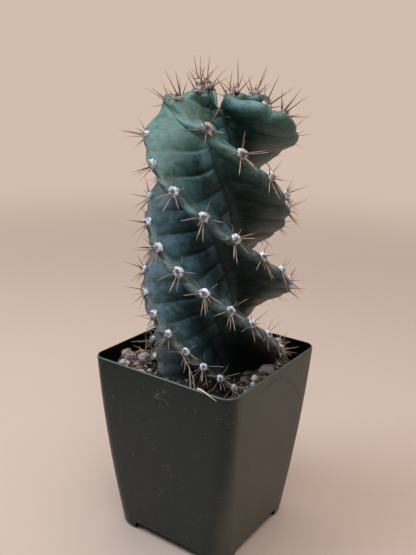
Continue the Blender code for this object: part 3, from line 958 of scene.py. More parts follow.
def grow_wool(heap, draw, at, outward, along, aged):
    """A cushion with curled threads."""
    across = outward.cross(along)
    at = at + outward * (PAD_HEIGHT * 0.25 + CROWN_LIFT * (1 - aged))
    size = PAD_RADIUS * (0.82 + 0.30 * vigour(at.z))
    points, faces = BALL[3]
    cushion = []
    for p in points:
        lump = 1 + 0.45 * noise.noise(p * 2.8 + at * 900) - 0.30 * max(p.z - 0.6, 0)
        local = along * (p.x * 1.12) + across * p.y + outward * (p.z * 0.72)
        cushion.append(at + local * (size * lump))
    pale = [0.62 + 0.4 * noise.noise(p * 3 + at * 700) for p in points]
    heap.put(cushion, faces, aged=aged, pale=pale, heart=[max(p.z, 0) ** 3 for p in points])
    for _ in range(THREADS):
        turn = draw.uniform(0, math.tau)
        lean = draw.uniform(0.15, 1.15)
        aside = along * math.cos(turn) * 1.1 + across * math.sin(turn)
        way = outward * math.cos(lean) + aside * math.sin(lean)
        root = at - outward * (PAD_HEIGHT * 0.15) + way * (size * 0.78)
        length = draw.uniform(0.0006, 0.0013)
        curl = Vector([draw.uniform(-1, 1) for _ in range(3)]) * 0.00045
        path = [root, root + way * (length * 0.5) + curl * 0.4, root + way * length + curl]
        thread = tube(path, [THREAD_RADIUS * share for share in THREAD_TAPER], 3)
        heap.put(*thread, aged=aged, pale=draw.uniform(0.45, 1.0), heart=max(1 - lean / 0.55, 0))


print("a tuft has", THREADS, "threads")

# %% Wool finish
def wool_finish():
    f = Finish("areole wool")
    pale = f.painted("pale")
    fuzz = f.noise(0.0005, 3.0)
    young = f.mix(pale, (0.22, 0.135, 0.115), (0.58, 0.46, 0.42))
    white = f.mix(pale, (0.46, 0.46, 0.50), (0.88, 0.88, 0.92))
    heart = (f.painted("heart") + (fuzz - 0.5) * 0.4).between(0.25, 0.75)
    tone = f.coats(
        f.mix(f.painted("aged"), young, white),
        (heart * 0.85, (0.075, 0.040, 0.035)),
        ((fuzz - 0.5).between(0.05, 0.3) * 0.35, (0.16, 0.12, 0.11)),
    )
    return f.grained(tone, fuzz, rough=0.9, vary=0.1, depth=0.0003, strength=0.6)


wool = Heap("aged", "pale", "heart")
draw = random.Random(SEED + 10)
for rib, level in AREOLES:
    grow_wool(wool, draw, *crest_frame(rib, level), aged_at(level))
wool.piece("areole_wool", wool_finish(), node="stem")

# %% [markdown]
# ## Spines
#
# Each areole bears a star of radials and a longer central. A spine is woody:
# swollen and almost black at its root, red-brown along its length and straw
# coloured at the tip. Scattering them with a particle system would put them
# anywhere. Here the part's seeded draw is repeated, so these finer spines stand
# where the solid ones do. A spine that would run into the mix or the pot is turned
# up step by step until it stands clear, and left out where it never does.

# %% Ends of a spine
SPINE_REACH = 0.0422
SPINE_CLEARANCE = 0.0015
STONE_SPARE = 1.2
TALLEST_TIP = 0.2355
CHECKED_SHARES = (0.4, 0.6, 0.8, 1.0)
TURNING_STEPS = 8
TURN_UP = Vector((0, 0, 0.35))


def ground(x, y):
    """The lowest that a spine may come at a place: clear of the mix, the stones and the rim."""
    if max(abs(x), abs(y)) > RIM_SIDE / 2 - WALL - SPINE_CLEARANCE:
        return POT_HEIGHT + SPINE_CLEARANCE
    level = mix_height(x, y)
    for sx, sy, reach, top in FOOTPRINTS:
        if math.hypot(x - sx, y - sy) < reach * STONE_SPARE + SPINE_CLEARANCE:
            level = max(level, top)
    return level + SPINE_CLEARANCE


def stands_clear(root, tip):
    for share in CHECKED_SHARES:
        spot = root.lerp(tip, share)
        if spot.z < ground(spot.x, spot.y):
            return False
    return True


def spine_ends(root, way, length):
    """Root and tip, turned upwards until the spine stands clear and held inside the plant's reach."""
    for _ in range(TURNING_STEPS):
        tip = root + way * length
        for i in range(2):
            if abs(tip[i]) > SPINE_REACH:
                tip = root + (tip - root) * ((SPINE_REACH - abs(root[i])) / (abs(tip[i]) - abs(root[i])))
        if tip.z > TALLEST_TIP:
            tip = root + (tip - root) * ((TALLEST_TIP - root.z) / (tip.z - root.z))
        if stands_clear(root, tip):
            return root, tip
        way = (way + TURN_UP).normalized()
    return None


print("over the rim a spine keeps above", round(ground(RIM_SIDE / 2, 0) * 1000, 1), "mm")

# %% The part's draw, repeated
RADIAL_SPINES = 5
SPINE_LENGTH = 0.0098
CROWN_SPINE_LENGTH = 0.0125
CENTRAL_LENGTH = 1.2
CROWN_START = STEM_SHOULDER - 0.02
CROWN_FADE = 0.03


def spine_set(draw, rib, level):
    """Root, tip and crown share of an areole's radials and its central."""
    at, outward, along = crest_frame(rib, level)
    across = outward.cross(along)
    crown = min(max((level - CROWN_START) / CROWN_FADE, 0.0), 1.0)
    reach = SPINE_LENGTH + (CROWN_SPINE_LENGTH - SPINE_LENGTH) * crown
    turn = draw.uniform(0, math.tau)
    ways = []
    for step in range(RADIAL_SPINES):
        a = turn + (step + draw.uniform(-0.2, 0.2)) / RADIAL_SPINES * math.tau
        lift = draw.uniform(0.35, 0.7) + 0.5 * crown
        ways.append((outward * lift + along * math.cos(a) + across * math.sin(a), draw.uniform(0.7, 1.0)))
    central = outward + along * draw.uniform(-0.35, 0.35) + across * draw.uniform(-0.4, 0.3)
    ways.append((central, CENTRAL_LENGTH))
    found = []
    for way, size in ways:
        sideways = way - outward * way.dot(outward)
        root = at + outward * (PAD_HEIGHT * 0.3) + sideways.normalized() * (PAD_RADIUS * 0.5)
        ends = spine_ends(root, way.normalized(), reach * size)
        if ends:
            found.append((*ends, crown))
    return found


print("the crown's first areole bears", len(spine_set(random.Random(SEED), 0, STEM_SHOULDER)), "spines")

# %% One spine
SPINE_SIDES = 6
SPINE_RADIUS = 0.00031
SPINE_STEPS = (-0.08, 0.0, 0.03, 0.08, 0.3, 0.6, 0.85, 1.0)
SPINE_WIDTHS = (0.9, 1.15, 1.25, 0.95, 0.80, 0.58, 0.34, 0.06)
MOST_BENT = 0.05


def grow_spine(heap, draw, root, tip, crown, thick):
    """A thick-rooted spine, bent a little to one side."""
    length = (tip - root).length
    bend = (tip - root).orthogonal().normalized()
    turn = Matrix.Rotation(draw.uniform(0, math.tau), 3, tip - root)
    bend = turn @ bend * (length * draw.uniform(0.0, MOST_BENT))
    path = [root.lerp(tip, s) + bend * math.sin(math.pi * max(s, 0.0)) for s in SPINE_STEPS]
    radius = SPINE_RADIUS * thick * (0.95 + 0.25 * crown)
    points, faces = tube(path, [radius * w for w in SPINE_WIDTHS], SPINE_SIDES)
    share = [max(s, 0.0) for s in SPINE_STEPS for _ in range(SPINE_SIDES)]
    heap.put(points, faces, share=share, tint=draw.uniform(0, 1), crown=crown)


def leaving(at, way, share, length):
    """Root and tip of a spine that leaves its tuft this share of the way out."""
    return spine_ends(at + way * (PAD_RADIUS * share), way, length)


print("a spine is", round(SPINE_RADIUS * 2000, 2), "mm thick and has", len(SPINE_STEPS), "rings")

# %% Spine finish
def spine_finish():
    f = Finish("spines")
    streak = f.noise(0.0008, 3.0)
    place = f.painted("share") + (f.painted("tint") - 0.5) * 0.35 + (streak - 0.5) * 0.2
    aged = f.ramp(place, [(0.0, (0.045, 0.022, 0.020)), (0.22, (0.19, 0.105, 0.075)),
                          (0.55, (0.36, 0.235, 0.15)), (0.95, (0.50, 0.40, 0.27))])
    fresh = f.ramp(place, [(0.0, (0.030, 0.013, 0.014)), (0.3, (0.16, 0.062, 0.040)),
                           (0.65, (0.34, 0.165, 0.085)), (1.0, (0.52, 0.35, 0.19))])
    tone = f.mix(f.painted("crown").between(0.2, 0.9), aged, fresh)
    return f.grained(tone, streak, rough=0.42, vary=0.2, depth=0.0002, strength=0.4)


spine_material = spine_finish()

# %% The part's spines, thinner low down
spines = Heap("share", "tint", "crown")
draw = random.Random(SEED)
shape_draw = random.Random(SEED + 20)
for rib, level in AREOLES:
    for root, tip, crown in spine_set(draw, rib, level):
        thick = min(max((tip - root).length / SPINE_LENGTH, 0.75), 1.2) * (1 - 0.25 * crown)
        thick *= 0.70 + 0.30 * vigour(level)
        grow_spine(spines, shape_draw, root, tip, crown, thick)
print(len(spines.faces), "faces")

# %% [markdown]
# A rigid solid can't hold all the spines of a real plant, so thinner ones are added:
# short ones between the radials, on the stem a pair that points down from each
# areole, and on the crown one long spine, which may stand out past the part's own.

# %% Short spines and hanging pairs
PAIR_END = 0.198
PAIR = 2


def star_way(draw, outward, along, across):
    """A way out of an areole, anywhere round it."""
    a = draw.uniform(0, math.tau)
    return (outward * draw.uniform(0.3, 0.8) + along * math.cos(a) + across * math.sin(a)).normalized()


def hanging_way(draw, outward, aged):
    """A way out of an areole and down."""
    down = Vector((draw.uniform(-0.35, 0.35), draw.uniform(-0.35, 0.35), -1.0)) * aged
    return (outward * draw.uniform(0.7, 1.0) + down).normalized()


for rib, level in AREOLES:
    at, outward, along = crest_frame(rib, level)
    across = outward.cross(along)
    on_stem = level < PAIR_END
    for _ in range(1 + on_stem):
        way = star_way(shape_draw, outward, along, across)
        ends = leaving(at, way, 0.3, SPINE_LENGTH * shape_draw.uniform(0.35, 0.6))
        if ends:
            grow_spine(spines, shape_draw, *ends, 1 - aged_at(level), 0.7)
    for _ in range(PAIR * on_stem):
        way = hanging_way(shape_draw, outward, aged_at(level))
        length = SPINE_LENGTH * shape_draw.uniform(0.9, 1.2) * (0.60 + 0.40 * vigour(level))
        ends = leaving(at, way, 0.4, length)
        if ends:
            grow_spine(spines, shape_draw, *ends, 1 - aged_at(level), 0.60 + 0.25 * vigour(level))
print(len(spines.faces), "faces")

# %% Long spines of the crown, and the piece
LONG_SPINE = 0.0150
LONG_REACH = 0.0462
LONG_SPAN = (STEM_SHOULDER - 0.010, STEM_SHOULDER + CROWN_ARC * 0.75)


def long_spine(draw, rib, level):
    """Root and tip of a long spine, or None where it would stand out too far."""
    at, outward, along = crest_frame(rib, level)
    across = outward.cross(along)
    way = (outward + along * draw.uniform(-0.7, 0.7) + across * draw.uniform(-0.7, 0.7)).normalized()
    tip = at + way * (LONG_SPINE * draw.uniform(0.95, 1.25))
    if max(abs(tip.x), abs(tip.y)) > LONG_REACH:
        return None
    if tip.z > TALLEST_TIP:
        tip = at + (tip - at) * ((TALLEST_TIP - at.z) / (tip.z - at.z))
    return at + way * (PAD_RADIUS * 0.4), tip


long_draw = random.Random(SEED + 21)
for rib, level in AREOLES:
    ends = long_spine(long_draw, rib, level) if LONG_SPAN[0] < level < LONG_SPAN[1] else None
    if ends:
        grow_spine(spines, long_draw, *ends, 1.0, 0.85)
spines.piece("spines", spine_material, node="stem")

# %% [markdown]
# ## Pot
#
# The pot is a thin-walled moulding: a rounded square that widens upwards and bows
# out a little, on four corner feet. A turned or swept profile can't keep the
# square, so the wall is skinned through rounded-square rings, up the outside, over
# the rim and down the inside.

# %% Rings of the wall
CORNER_STEPS = 14
SIDE_STEPS = 10
OUTER_RINGS = 44
INNER_RINGS = 24
EDGE = 0.0009


def wall_side(z):
    t = (POT_HEIGHT - z) / (POT_HEIGHT - FOOT_HEIGHT)
    return RIM_SIDE - (RIM_SIDE - BASE_SIDE) * (t + WALL_BOW * t * (t - 1))


def wall_ring(z, inset=0.0):
    t = (POT_HEIGHT - z) / POT_HEIGHT
    half = wall_side(z) / 2 - inset
    corner = max(RIM_CORNER + (BASE_CORNER - RIM_CORNER) * t - inset, 0.002)
    ring = []
    for quarter in range(4):
        spin = Matrix.Rotation(quarter * math.pi / 2, 3, "Z")
        for step in range(CORNER_STEPS + 1):
            a = step / CORNER_STEPS * math.pi / 2
            x = half - corner + corner * math.cos(a)
            y = half - corner + corner * math.sin(a)
            ring.append(spin @ Vector((x, y, z)))
        for step in range(1, SIDE_STEPS):
            ring.append(spin @ Vector(((half - corner) * (1 - 2 * step / SIDE_STEPS), half, z)))
    return ring


def pot_rings():
    """Outside from the foot's rounded edge up, over the rim, and down to the floor."""
    outer = [(0.0, EDGE), (0.0003, 0.0003), (0.0010, 0.0)]
    outer += [(z, 0.0) for z in np.linspace(0.0025, POT_HEIGHT - EDGE, OUTER_RINGS)]
    rim = [(POT_HEIGHT - 0.0003, 0.0001), (POT_HEIGHT, 0.0004), (POT_HEIGHT, WALL - 0.0004),
           (POT_HEIGHT - 0.0003, WALL - 0.0001)]
    inner = [(z, WALL) for z in np.linspace(POT_HEIGHT - EDGE, FOOT_HEIGHT + FLOOR, INNER_RINGS)]
    return [wall_ring(z, inset) for z, inset in outer + rim + inner]


print("wall ring has", len(wall_ring(0.05)), "points")

# %% [markdown]
# The plastic is almost black with a green cast and a satin sheen, and it has been
# handled: specks of dust, dried smears, one scuffed patch by the rim and a faint
# curved line that the mould left on the wall that faces +X. Each is a coat with a
# mask of its own. Painted light adds two more coats: a lighter, warmer tone on the
# wall that faces +X, a painted reflection of the bright room, and a thin teal painted
# highlight along the top of the rim. Inside, a second, darker and duller plastic takes
# over as painted shade, with a trace of the smears, and a Mix Shader blends the two by
# the way the wall faces.

# %% Pot finish
ARC_MIDDLE = -0.004
ARC_TOP = 0.0898
ARC_DROP = 20.0
SCUFF = (0.0025, 0.0838)


def pot_finish():
    f = Finish("pot plastic")
    x, y, z = [f.axis(which) for which in "XYZ"]
    cloud = f.noise(0.02, 4.0, 0.6)
    fine = f.noise(0.0009, 4.0, 0.7)
    brushed = f.noise(0.003, 3.0, 0.6, stretch=(1.0, 1.0, 0.18))
    right_wall = x.between(0.024, 0.033) * y.between(-0.038, -0.029)
    # painted reflection: the wall that faces +X is lightened as if it mirrored the bright room
    right_wall_reflection = right_wall * (0.35 + cloud * 0.5 + y.between(0.03, -0.015) * 0.3)
    dust = f.cells(0.0030).between(0.17, 0.04) * f.noise(0.009, 3.0).between(0.44, 0.62)
    smear = f.noise(0.008, 5.0, 0.75).between(0.54, 0.72) * fine.between(0.42, 0.60)
    across, up = x - SCUFF[0], z - SCUFF[1]
    spot = ((across * across + up * up) ** 0.5).between(0.0065, 0.0030) * y.between(-0.025, -0.032)
    curl = (f.noise(0.0055, 2.0) - 0.5).sum("ABSOLUTE").between(0.030, 0.006) * fine.between(0.38, 0.55)
    drop = (y - ARC_MIDDLE) * (y - ARC_MIDDLE) * ARC_DROP
    line = (z + drop - ARC_TOP).sum("ABSOLUTE").between(0.0018, 0.0002)
    arc = line * (x > 0.03) * y.between(-0.020, -0.008)
    tone = f.coats(
        f.mix(cloud, (0.004, 0.011, 0.010), (0.008, 0.017, 0.015)),
        (right_wall_reflection, (0.052, 0.056, 0.044)),
        ((brushed - 0.5).between(0.02, 0.35) * 0.25, (0.020, 0.023, 0.018)),
        (dust * 0.60, (0.24, 0.25, 0.23)),
        (smear * 0.30, (0.10, 0.11, 0.11)),
        (spot * curl * 0.40, (0.26, 0.29, 0.30)),
        # painted highlight: a thin teal line along the top of the rim
        (z.between(POT_HEIGHT - EDGE, POT_HEIGHT - 0.0002) * 0.6, (0.060, 0.100, 0.090)),
        (arc * 0.6, (0.004, 0.005, 0.004)),
    )
    # painted shade inside: near-black, with a trace of the smears, for the inner wall that gets little light
    inside_shade_and_smear = f.mix(smear * 0.3, (0.0012, 0.0018, 0.0020), (0.012, 0.012, 0.011))
    rough = 0.36 + (cloud - 0.5) * 0.15 + smear * 0.25 + (fine - 0.5) * 0.12
    dull_rough = 0.85 + (fine - 0.5) * 0.1
    waves = f.bump(brushed, 0.00012, 0.5)
    ridge = f.bump(arc, 0.0001, 0.4, under=waves)
    normal = f.bump(fine, 0.00008, 0.6, under=ridge)
    satin = f.shader(base_color=tone, roughness=rough, normal=normal, specular_ior_level=0.34)
    dull = f.shader(base_color=inside_shade_and_smear, roughness=dull_rough, normal=normal, specular_ior_level=0.08)
    inside = (x * f.axis("X", "Normal") + y * f.axis("Y", "Normal")).between(-0.008, -0.022)
    return f.show(f.add("ShaderNodeMixShader", sockets={0: inside, 1: satin, 2: dull}))


pot_material = pot_finish()

# %% [markdown]
# The feet are what two crossing cuts leave of the pot's lower edge, and the drain
# holes are cut too. A Boolean modifier is right for such plain cuts. Its result is
# kept and the modifier removed, so that the cutters can go.

# %% Cuts
FLARE = 0.0012
BELOW = -0.01
LONG_BAR = 0.1
DRAIN_RADIUS = 0.0042
DRAIN_OFFSET = 0.017


def cut(piece, points, faces):
    """Take a closed shape away from a piece, for good."""
    mesh = bpy.data.meshes.new("cutter")
    mesh.from_pydata([tuple(p) for p in points], [], faces)
    cutter = bpy.data.objects.new("cutter", mesh)
    bpy.context.scene.collection.objects.link(cutter)
    mod = piece.modifiers.new("cut", "BOOLEAN")
    mod.operation = "DIFFERENCE"
    mod.solver = "EXACT"
    mod.object = cutter
    result = bpy.data.meshes.new_from_object(piece.evaluated_get(bpy.context.evaluated_depsgraph_get()))
    piece.modifiers.remove(mod)
    piece.data = result
    bpy.data.objects.remove(cutter, do_unlink=True)


def notch(half_x, half_y):
    """A long bar that widens a little downwards, so that the feet taper."""
    points = []
    for z, grow in ((BELOW, FLARE * 2.5), (FOOT_HEIGHT, 0.0)):
        hx = half_x + (grow if half_x < LONG_BAR else 0)
        hy = half_y + (grow if half_y < LONG_BAR else 0)
        points += [(-hx, -hy, z), (hx, -hy, z), (hx, hy, z), (-hx, hy, z)]
    return points, closed_faces(2, 4)


def drain(x, y):
    path = [Vector((x, y, FOOT_HEIGHT - 0.005)), Vector((x, y, FOOT_HEIGHT + 0.005))]
    return tube(path, [DRAIN_RADIUS] * 2, 28)


print("a notch has", len(notch(LONG_BAR, FOOT_LENGTH)[1]), "faces")

# %% Pot piece
SHARP = math.radians(35)

rings = pot_rings()
count = len(rings[0])
pot_points = [p for ring in rings for p in ring]
pot_faces = closed_faces(len(rings), count)
pot = make_piece("pot_shell", pot_points, pot_faces, pot_material, "pot", "pot_plastic")
foot_start = wall_side(0.0) / 2 - FOOT_LENGTH
cut(pot, *notch(LONG_BAR, foot_start))
cut(pot, *notch(foot_start, LONG_BAR))
for sx in (-1, 1):
    for sy in (-1, 1):
        cut(pot, *drain(sx * DRAIN_OFFSET, sy * DRAIN_OFFSET))
pot.data.shade_smooth()
pot.data.set_sharp_from_angle(angle=SHARP)
print("after the cuts it has", len(pot.data.polygons), "faces")

# %% [markdown]
# ## Potting mix
#
# The mix is dark peat with bark and pumice. Its bed is one rough sheet that closes
# down into the pot and keeps a small gap to its wall. What gives the mix its look
# is laid on top of this bed later: over a thousand small loose pieces.

# %% Keeping off the stem
OUTLINE_LEVEL = MIX_LEVEL + 0.003
OUTLINE_STEPS = 40


def stem_outline(z):
    """Radius of the stem by angle at a height, for keeping litter off it."""
    ring = []
    for rib in reversed(range(RIBS)):
        side = np.linspace(-1, 1, OUTLINE_STEPS, endpoint=False)
        ring += list(rib_surface(rib, side, np.full(side.shape, z))[0] - axis_point(z))
    angles = np.array([math.atan2(p[1], p[0]) for p in ring])
    radii = np.array([math.hypot(p[0], p[1]) for p in ring])
    order = np.argsort(angles)
    return angles[order], radii[order]


OUTLINE = stem_outline(OUTLINE_LEVEL)


def off_the_stem(x, y, spare):
    centre = axis_point(OUTLINE_LEVEL)
    dx, dy = x - centre[0], y - centre[1]
    return math.hypot(dx, dy) > np.interp(math.atan2(dy, dx), *OUTLINE, period=math.tau) + spare


print("the stem is", round(float(OUTLINE[1].max()) * 2000, 1), "mm across where it leaves the mix")

# %% Bed of the mix
BED_RINGS = 46
BURIED_RINGS = (FOOT_HEIGHT + FLOOR + GAP, 0.03, 0.055, 0.072)


def bed_crumb(x, y):
    coarse = 0.0005 * noise.noise(Vector((x * 700, y * 700, 1.0)))
    return coarse + 0.0003 * noise.noise(Vector((x * 2000, y * 2000, 5.0)))


def bed_points():
    inset = WALL + GAP
    rings = [wall_ring(z, inset) for z in BURIED_RINGS]
    edge = wall_ring(MIX_LEVEL, inset)
    for step in range(BED_RINGS):
        share = 1 - (step / BED_RINGS) ** 1.1
        ring = []
        for p in edge:
            x, y = p.x * share, p.y * share
            ring.append(Vector((x, y, mix_height(x, y) + bed_crumb(x, y))))
        rings.append(ring)
    return rings


def bed_finish():
    f = Finish("potting mix")
    crumb = f.noise(0.0011, 5.0, 0.7)
    patch = f.noise(0.009, 3.0)
    fleck = f.cells(0.0011).between(0.20, 0.08) * f.noise(0.003, 2.0).between(0.50, 0.62)
    tone = f.coats(
        f.mix(patch, (0.010, 0.008, 0.007), (0.034, 0.024, 0.018)),
        (crumb.between(0.5, 0.75), (0.095, 0.060, 0.040)),
        (fleck * 0.8, (0.42, 0.37, 0.34)),
    )
    return f.grained(tone, crumb, rough=0.87, vary=-0.1, depth=0.0009, strength=0.9)


rings = bed_points()
count = len(rings[0])
bed = [p for ring in rings for p in ring] + [Vector((0, 0, mix_height(0, 0)))]
bed_faces = ring_faces(len(rings), count) + [tuple(reversed(range(count)))] + fan(len(rings), count)
make_piece("mix_bed", bed, bed_faces, bed_finish(), "potting_mix", "potting_mix")

# %% [markdown]
# ## Litter
#
# On the bed lie grit, which is crushed pumice, and crumbs of bark. Geometry nodes
# could scatter them. A loop with a seeded draw does the same in plain sight, and
# lets each one ask for the height of the bed, keep off the stem and stay inside
# the wall. A crumb is a jittered ball, because a real one has broken sides. They
# lie thickest on the mound and in a small heap at the right-hand wall.

# %% Where a grain may lie
STEM_SPARE = 0.0012
WALL_SPARE = 0.0012
LITTER_CENTRE = (0.0300, 0.0035)
LITTER_HEIGHT = 0.0065
LITTER_REACH = 0.0095


def free_spot(draw, centre=None, spread=None):
    """A place on the bed that keeps off the wall and the stem, or None."""
    half = wall_side(MIX_LEVEL) / 2 - WALL - WALL_SPARE
    if centre:
        x, y = draw.gauss(centre[0], spread), draw.gauss(centre[1], spread)
    else:
        x, y = draw.uniform(-half, half), draw.uniform(-half, half)
    if max(abs(x), abs(y)) > half or not off_the_stem(x, y, STEM_SPARE):
        return None
    return x, y


def litter_height(x, y):
    """How far grains are heaped up over the bed by the right-hand wall."""
    return mound(x, y, LITTER_CENTRE, LITTER_HEIGHT, LITTER_REACH)


print("the heap is", LITTER_HEIGHT * 1000, "mm high")

# %% Grains
def lump(draw, centre, size, rough, detail=1):
    """A jittered ball, stretched and turned."""
    points, faces = BALL[detail]
    turn = Matrix.Rotation(draw.uniform(0, math.tau), 3, "Z")
    turn = turn @ Matrix.Rotation(draw.uniform(-0.6, 0.6), 3, "X")
    grown = []
    for p in points:
        scale = 1 + draw.uniform(-rough, rough)
        grown.append(centre + turn @ Vector((p.x * size[0], p.y * size[1], p.z * size[2])) * scale)
    return grown, faces


def scatter(heap, draw, count, widths, flat, rough, centre=None, spread=None, sink=0.25, piled=False):
    """Lay grains of these widths on the bed, sunk into it by a share of their height."""
    half = wall_side(MIX_LEVEL) / 2 - WALL
    for _ in range(count):
        spot = free_spot(draw, centre, spread)
        if not spot:
            continue
        width = min(draw.uniform(*widths), half - max(abs(spot[0]), abs(spot[1])))
        size = (width, width * draw.uniform(0.6, 1.0), width * flat * draw.uniform(0.7, 1.1))
        lift = litter_height(*spot) * draw.uniform(0.2, 1.0) if piled else 0.0
        where = Vector((*spot, mix_height(*spot) + size[2] * (1 - 2 * sink) + lift))
        points, faces = lump(draw, where, size, rough)
        heap.put(points, faces, tone=draw.uniform(0, 1))


print("a grain has", len(BALL[1][1]), "faces")

# %% Litter finishes
def grit_finish():
    f = Finish("grit")
    tone = f.painted("tone")
    grain = f.noise(0.0006, 4.0, 0.7)
    stone = f.ramp(tone, [(0.0, (0.13, 0.080, 0.068)), (0.3, (0.26, 0.19, 0.175)),
                          (0.65, (0.34, 0.28, 0.265)), (1.0, (0.66, 0.65, 0.68))])
    pitted = f.mix(grain.between(0.6, 0.42) * 0.55, stone, (0.13, 0.10, 0.09))
    return f.grained(pitted, grain, rough=0.88, vary=0.1, depth=0.0004, strength=0.9)


def crumb_finish():
    f = Finish("bark crumbs")
    tone = f.painted("tone")
    grain = f.noise(0.0010, 4.0, 0.7, stretch=(1.0, 2.5, 1.0))
    wood = f.ramp(tone, [(0.0, (0.020, 0.013, 0.010)), (0.45, (0.070, 0.038, 0.024)),
                         (0.75, (0.23, 0.13, 0.085)), (1.0, (0.42, 0.26, 0.17))])
    streaked = f.mix(grain.between(0.6, 0.4) * 0.6, wood, (0.015, 0.010, 0.008))
    return f.grained(streaked, grain, rough=0.86, vary=0.1, depth=0.0005, strength=0.9)


grit_material = grit_finish()
crumb_material = crumb_finish()

# %% Grit
GRIT_FLAT = 0.8
GRIT_ROUGH = 0.16
CHUNKS = (
    (0.0302, 0.0075, 0.0038, 0.48), (0.0285, -0.0015, 0.0020, 1.0), (0.0295, -0.0045, 0.0016, 0.9),
    (0.0325, -0.0105, 0.0016, 1.0), (0.0335, -0.0075, 0.0014, 0.95), (0.0340, 0.0130, 0.0020, 0.75),
)
draw = random.Random(SEED + 30)
grit = Heap("tone")
for count, widths, options in (
    (240, (0.0006, 0.0016), {"centre": MOUND_CENTRE, "spread": 0.0085}),
    (90, (0.0006, 0.0014), {"centre": (0.030, 0.010), "spread": 0.010}),
    (120, (0.0004, 0.0011), {}),
    (90, (0.0007, 0.0016), {"centre": LITTER_CENTRE, "spread": 0.0055, "piled": True}),
):
    scatter(grit, draw, count, widths, GRIT_FLAT, GRIT_ROUGH, **options)
for x, y, size, tone in CHUNKS:
    where = Vector((x, y, mix_height(x, y) + litter_height(x, y) + size * 0.5))
    points, faces = lump(draw, where, (size, size * 0.8, size * 0.85), 0.18, 2)
    grit.put(points, faces, tone=tone)
grit.piece("grit", grit_material, slot="pumice")

# %% Bark crumbs
CRUMB_ROUGH = 0.25
crumbs = Heap("tone")
scatter(crumbs, draw, 420, (0.0008, 0.0024), 0.40, CRUMB_ROUGH, MOUND_CENTRE, 0.011, sink=0.05)
scatter(crumbs, draw, 420, (0.0008, 0.0024), 0.35, CRUMB_ROUGH)
scatter(crumbs, draw, 260, (0.0008, 0.0022), 0.50, CRUMB_ROUGH, LITTER_CENTRE, 0.0055, piled=True)
crumbs.piece("bark_crumbs", crumb_material, slot="bark")

# %% [markdown]
# ## Stones and chips
#
# The larger pumice stones and bark chips are separate pieces in the part. Each gets
# a finer body inside its own box: pumice is rounded and full of pits, bark is
# split into flat layers with a grain along its length.

# %% Pumice stones
def stone_finish():
    f = Finish("pumice")
    pits = f.cells(0.0011)
    fine = f.noise(0.0007, 5.0, 0.7)
    cloud = f.noise(0.004, 3.0)
    tone = f.coats(
        f.mix(cloud, (0.20, 0.155, 0.145), (0.44, 0.39, 0.38)),
        (pits.between(0.28, 0.10) * 0.6, (0.20, 0.16, 0.15)),
        (fine.between(0.58, 0.75) * 0.5, (0.22, 0.15, 0.12)),
    )
    relief = f.bump(pits, 0.0005, 0.7)
    return f.grained(tone, fine, rough=0.9, vary=0.1, depth=0.0004, strength=0.8, under=relief)


FACETS = 2.2
FILL = 0.93


def dress_lump(node, finish, slot, flatness, seed):
    """A finer lump that fills the node's box and keeps its footing."""
    low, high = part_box(node)
    middle = (low + high) / 2
    half = (high - low) / 2
    points, faces = BALL[3]
    grown = []
    for p in points:
        wave = noise.noise(p * 1.6 + Vector((seed, 0, 0))) * 0.22
        wave += noise.noise(p * 4.5 + Vector((0, seed, 0))) * 0.09
        push = Vector(round(c * FACETS) / FACETS * flatness + c * (1 - flatness) for c in p)
        grown.append(middle + Vector(push[i] * half[i] * FILL * (1 + wave) for i in range(3)))
    make_piece(node + "_fine", grown, faces, finish, node, slot)


pumice = stone_finish()
for number, name in enumerate(n for n in sorted(LOOSE) if n.startswith("pumice")):
    dress_lump(name, pumice, "pumice", 0.45, number * 3.7)

# %% Bark chips
def bark_finish():
    f = Finish("bark chip")
    layer = f.noise(0.0012, 4.0, 0.65, stretch=(0.6, 0.6, 3.0))
    fine = f.noise(0.0006, 4.0, 0.7)
    wood = f.mix(layer.between(0.35, 0.7), (0.115, 0.060, 0.038), (0.46, 0.31, 0.22))
    split = f.mix(fine.between(0.62, 0.75) * 0.7, wood, (0.03, 0.02, 0.015))
    relief = f.bump(layer, 0.0007, 0.9)
    return f.grained(split, fine, rough=0.82, vary=0.1, depth=0.0003, strength=0.8, under=relief)


bark = bark_finish()
for number, name in enumerate(n for n in sorted(LOOSE) if n.startswith("bark")):
    dress_lump(name, bark, "bark", 0.7, 11 + number * 5.1)

# %% [markdown]
# ## Dry straw
#
# Two dry blades stand in the shade under a rib, a dry sliver bridges the rim, a few
# hair-thin rootlets stick out of the mound and short twigs lie about. Each is a
# thin tapered tube. What can be told apart in the photograph runs along a smooth
# curve through a few listed points, and the twigs are drawn at random.

# %% A smooth path
def smooth_path(spots, steps=8):
    """Catmull-Rom curve through the spots."""
    ends = [spots[0] * 2 - spots[1]] + spots + [spots[-1] * 2 - spots[-2]]
    path = []
    for a, b, c, d in zip(ends, ends[1:], ends[2:], ends[3:]):
        for step in range(steps):
            t = step / steps
            path.append(0.5 * (2 * b + (c - a) * t + (2 * a - 5 * b + 4 * c - d) * t * t
                               + (3 * b - a - 3 * c + d) * t ** 3))
    return path + [spots[-1]]


print("through 3 spots run", len(smooth_path([Vector((i, 0, 0)) for i in range(3)])), "points")

# %% Straw finish
def straw_finish():
    f = Finish("dry straw")
    fibre = f.noise(0.0008, 3.0, 0.6, stretch=(2.0, 2.0, 0.4))
    tone = f.mix(f.painted("tone"), (0.20, 0.125, 0.075), (0.62, 0.47, 0.30))
    streaked = f.mix(fibre.between(0.5, 0.7) * 0.6, tone, (0.11, 0.07, 0.05))
    return f.grained(streaked, fibre, rough=0.62, vary=0.2, depth=0.0003, strength=0.7)


straw_material = straw_finish()

# %% Twigs
TWIGS = 44
TWIG_LIMIT = 0.038
TWIG_LIFT = 0.0009
TWIG_REACHES = (0.0015, 0.0035)
TWIG_RADII = (0.00014, 0.00028)


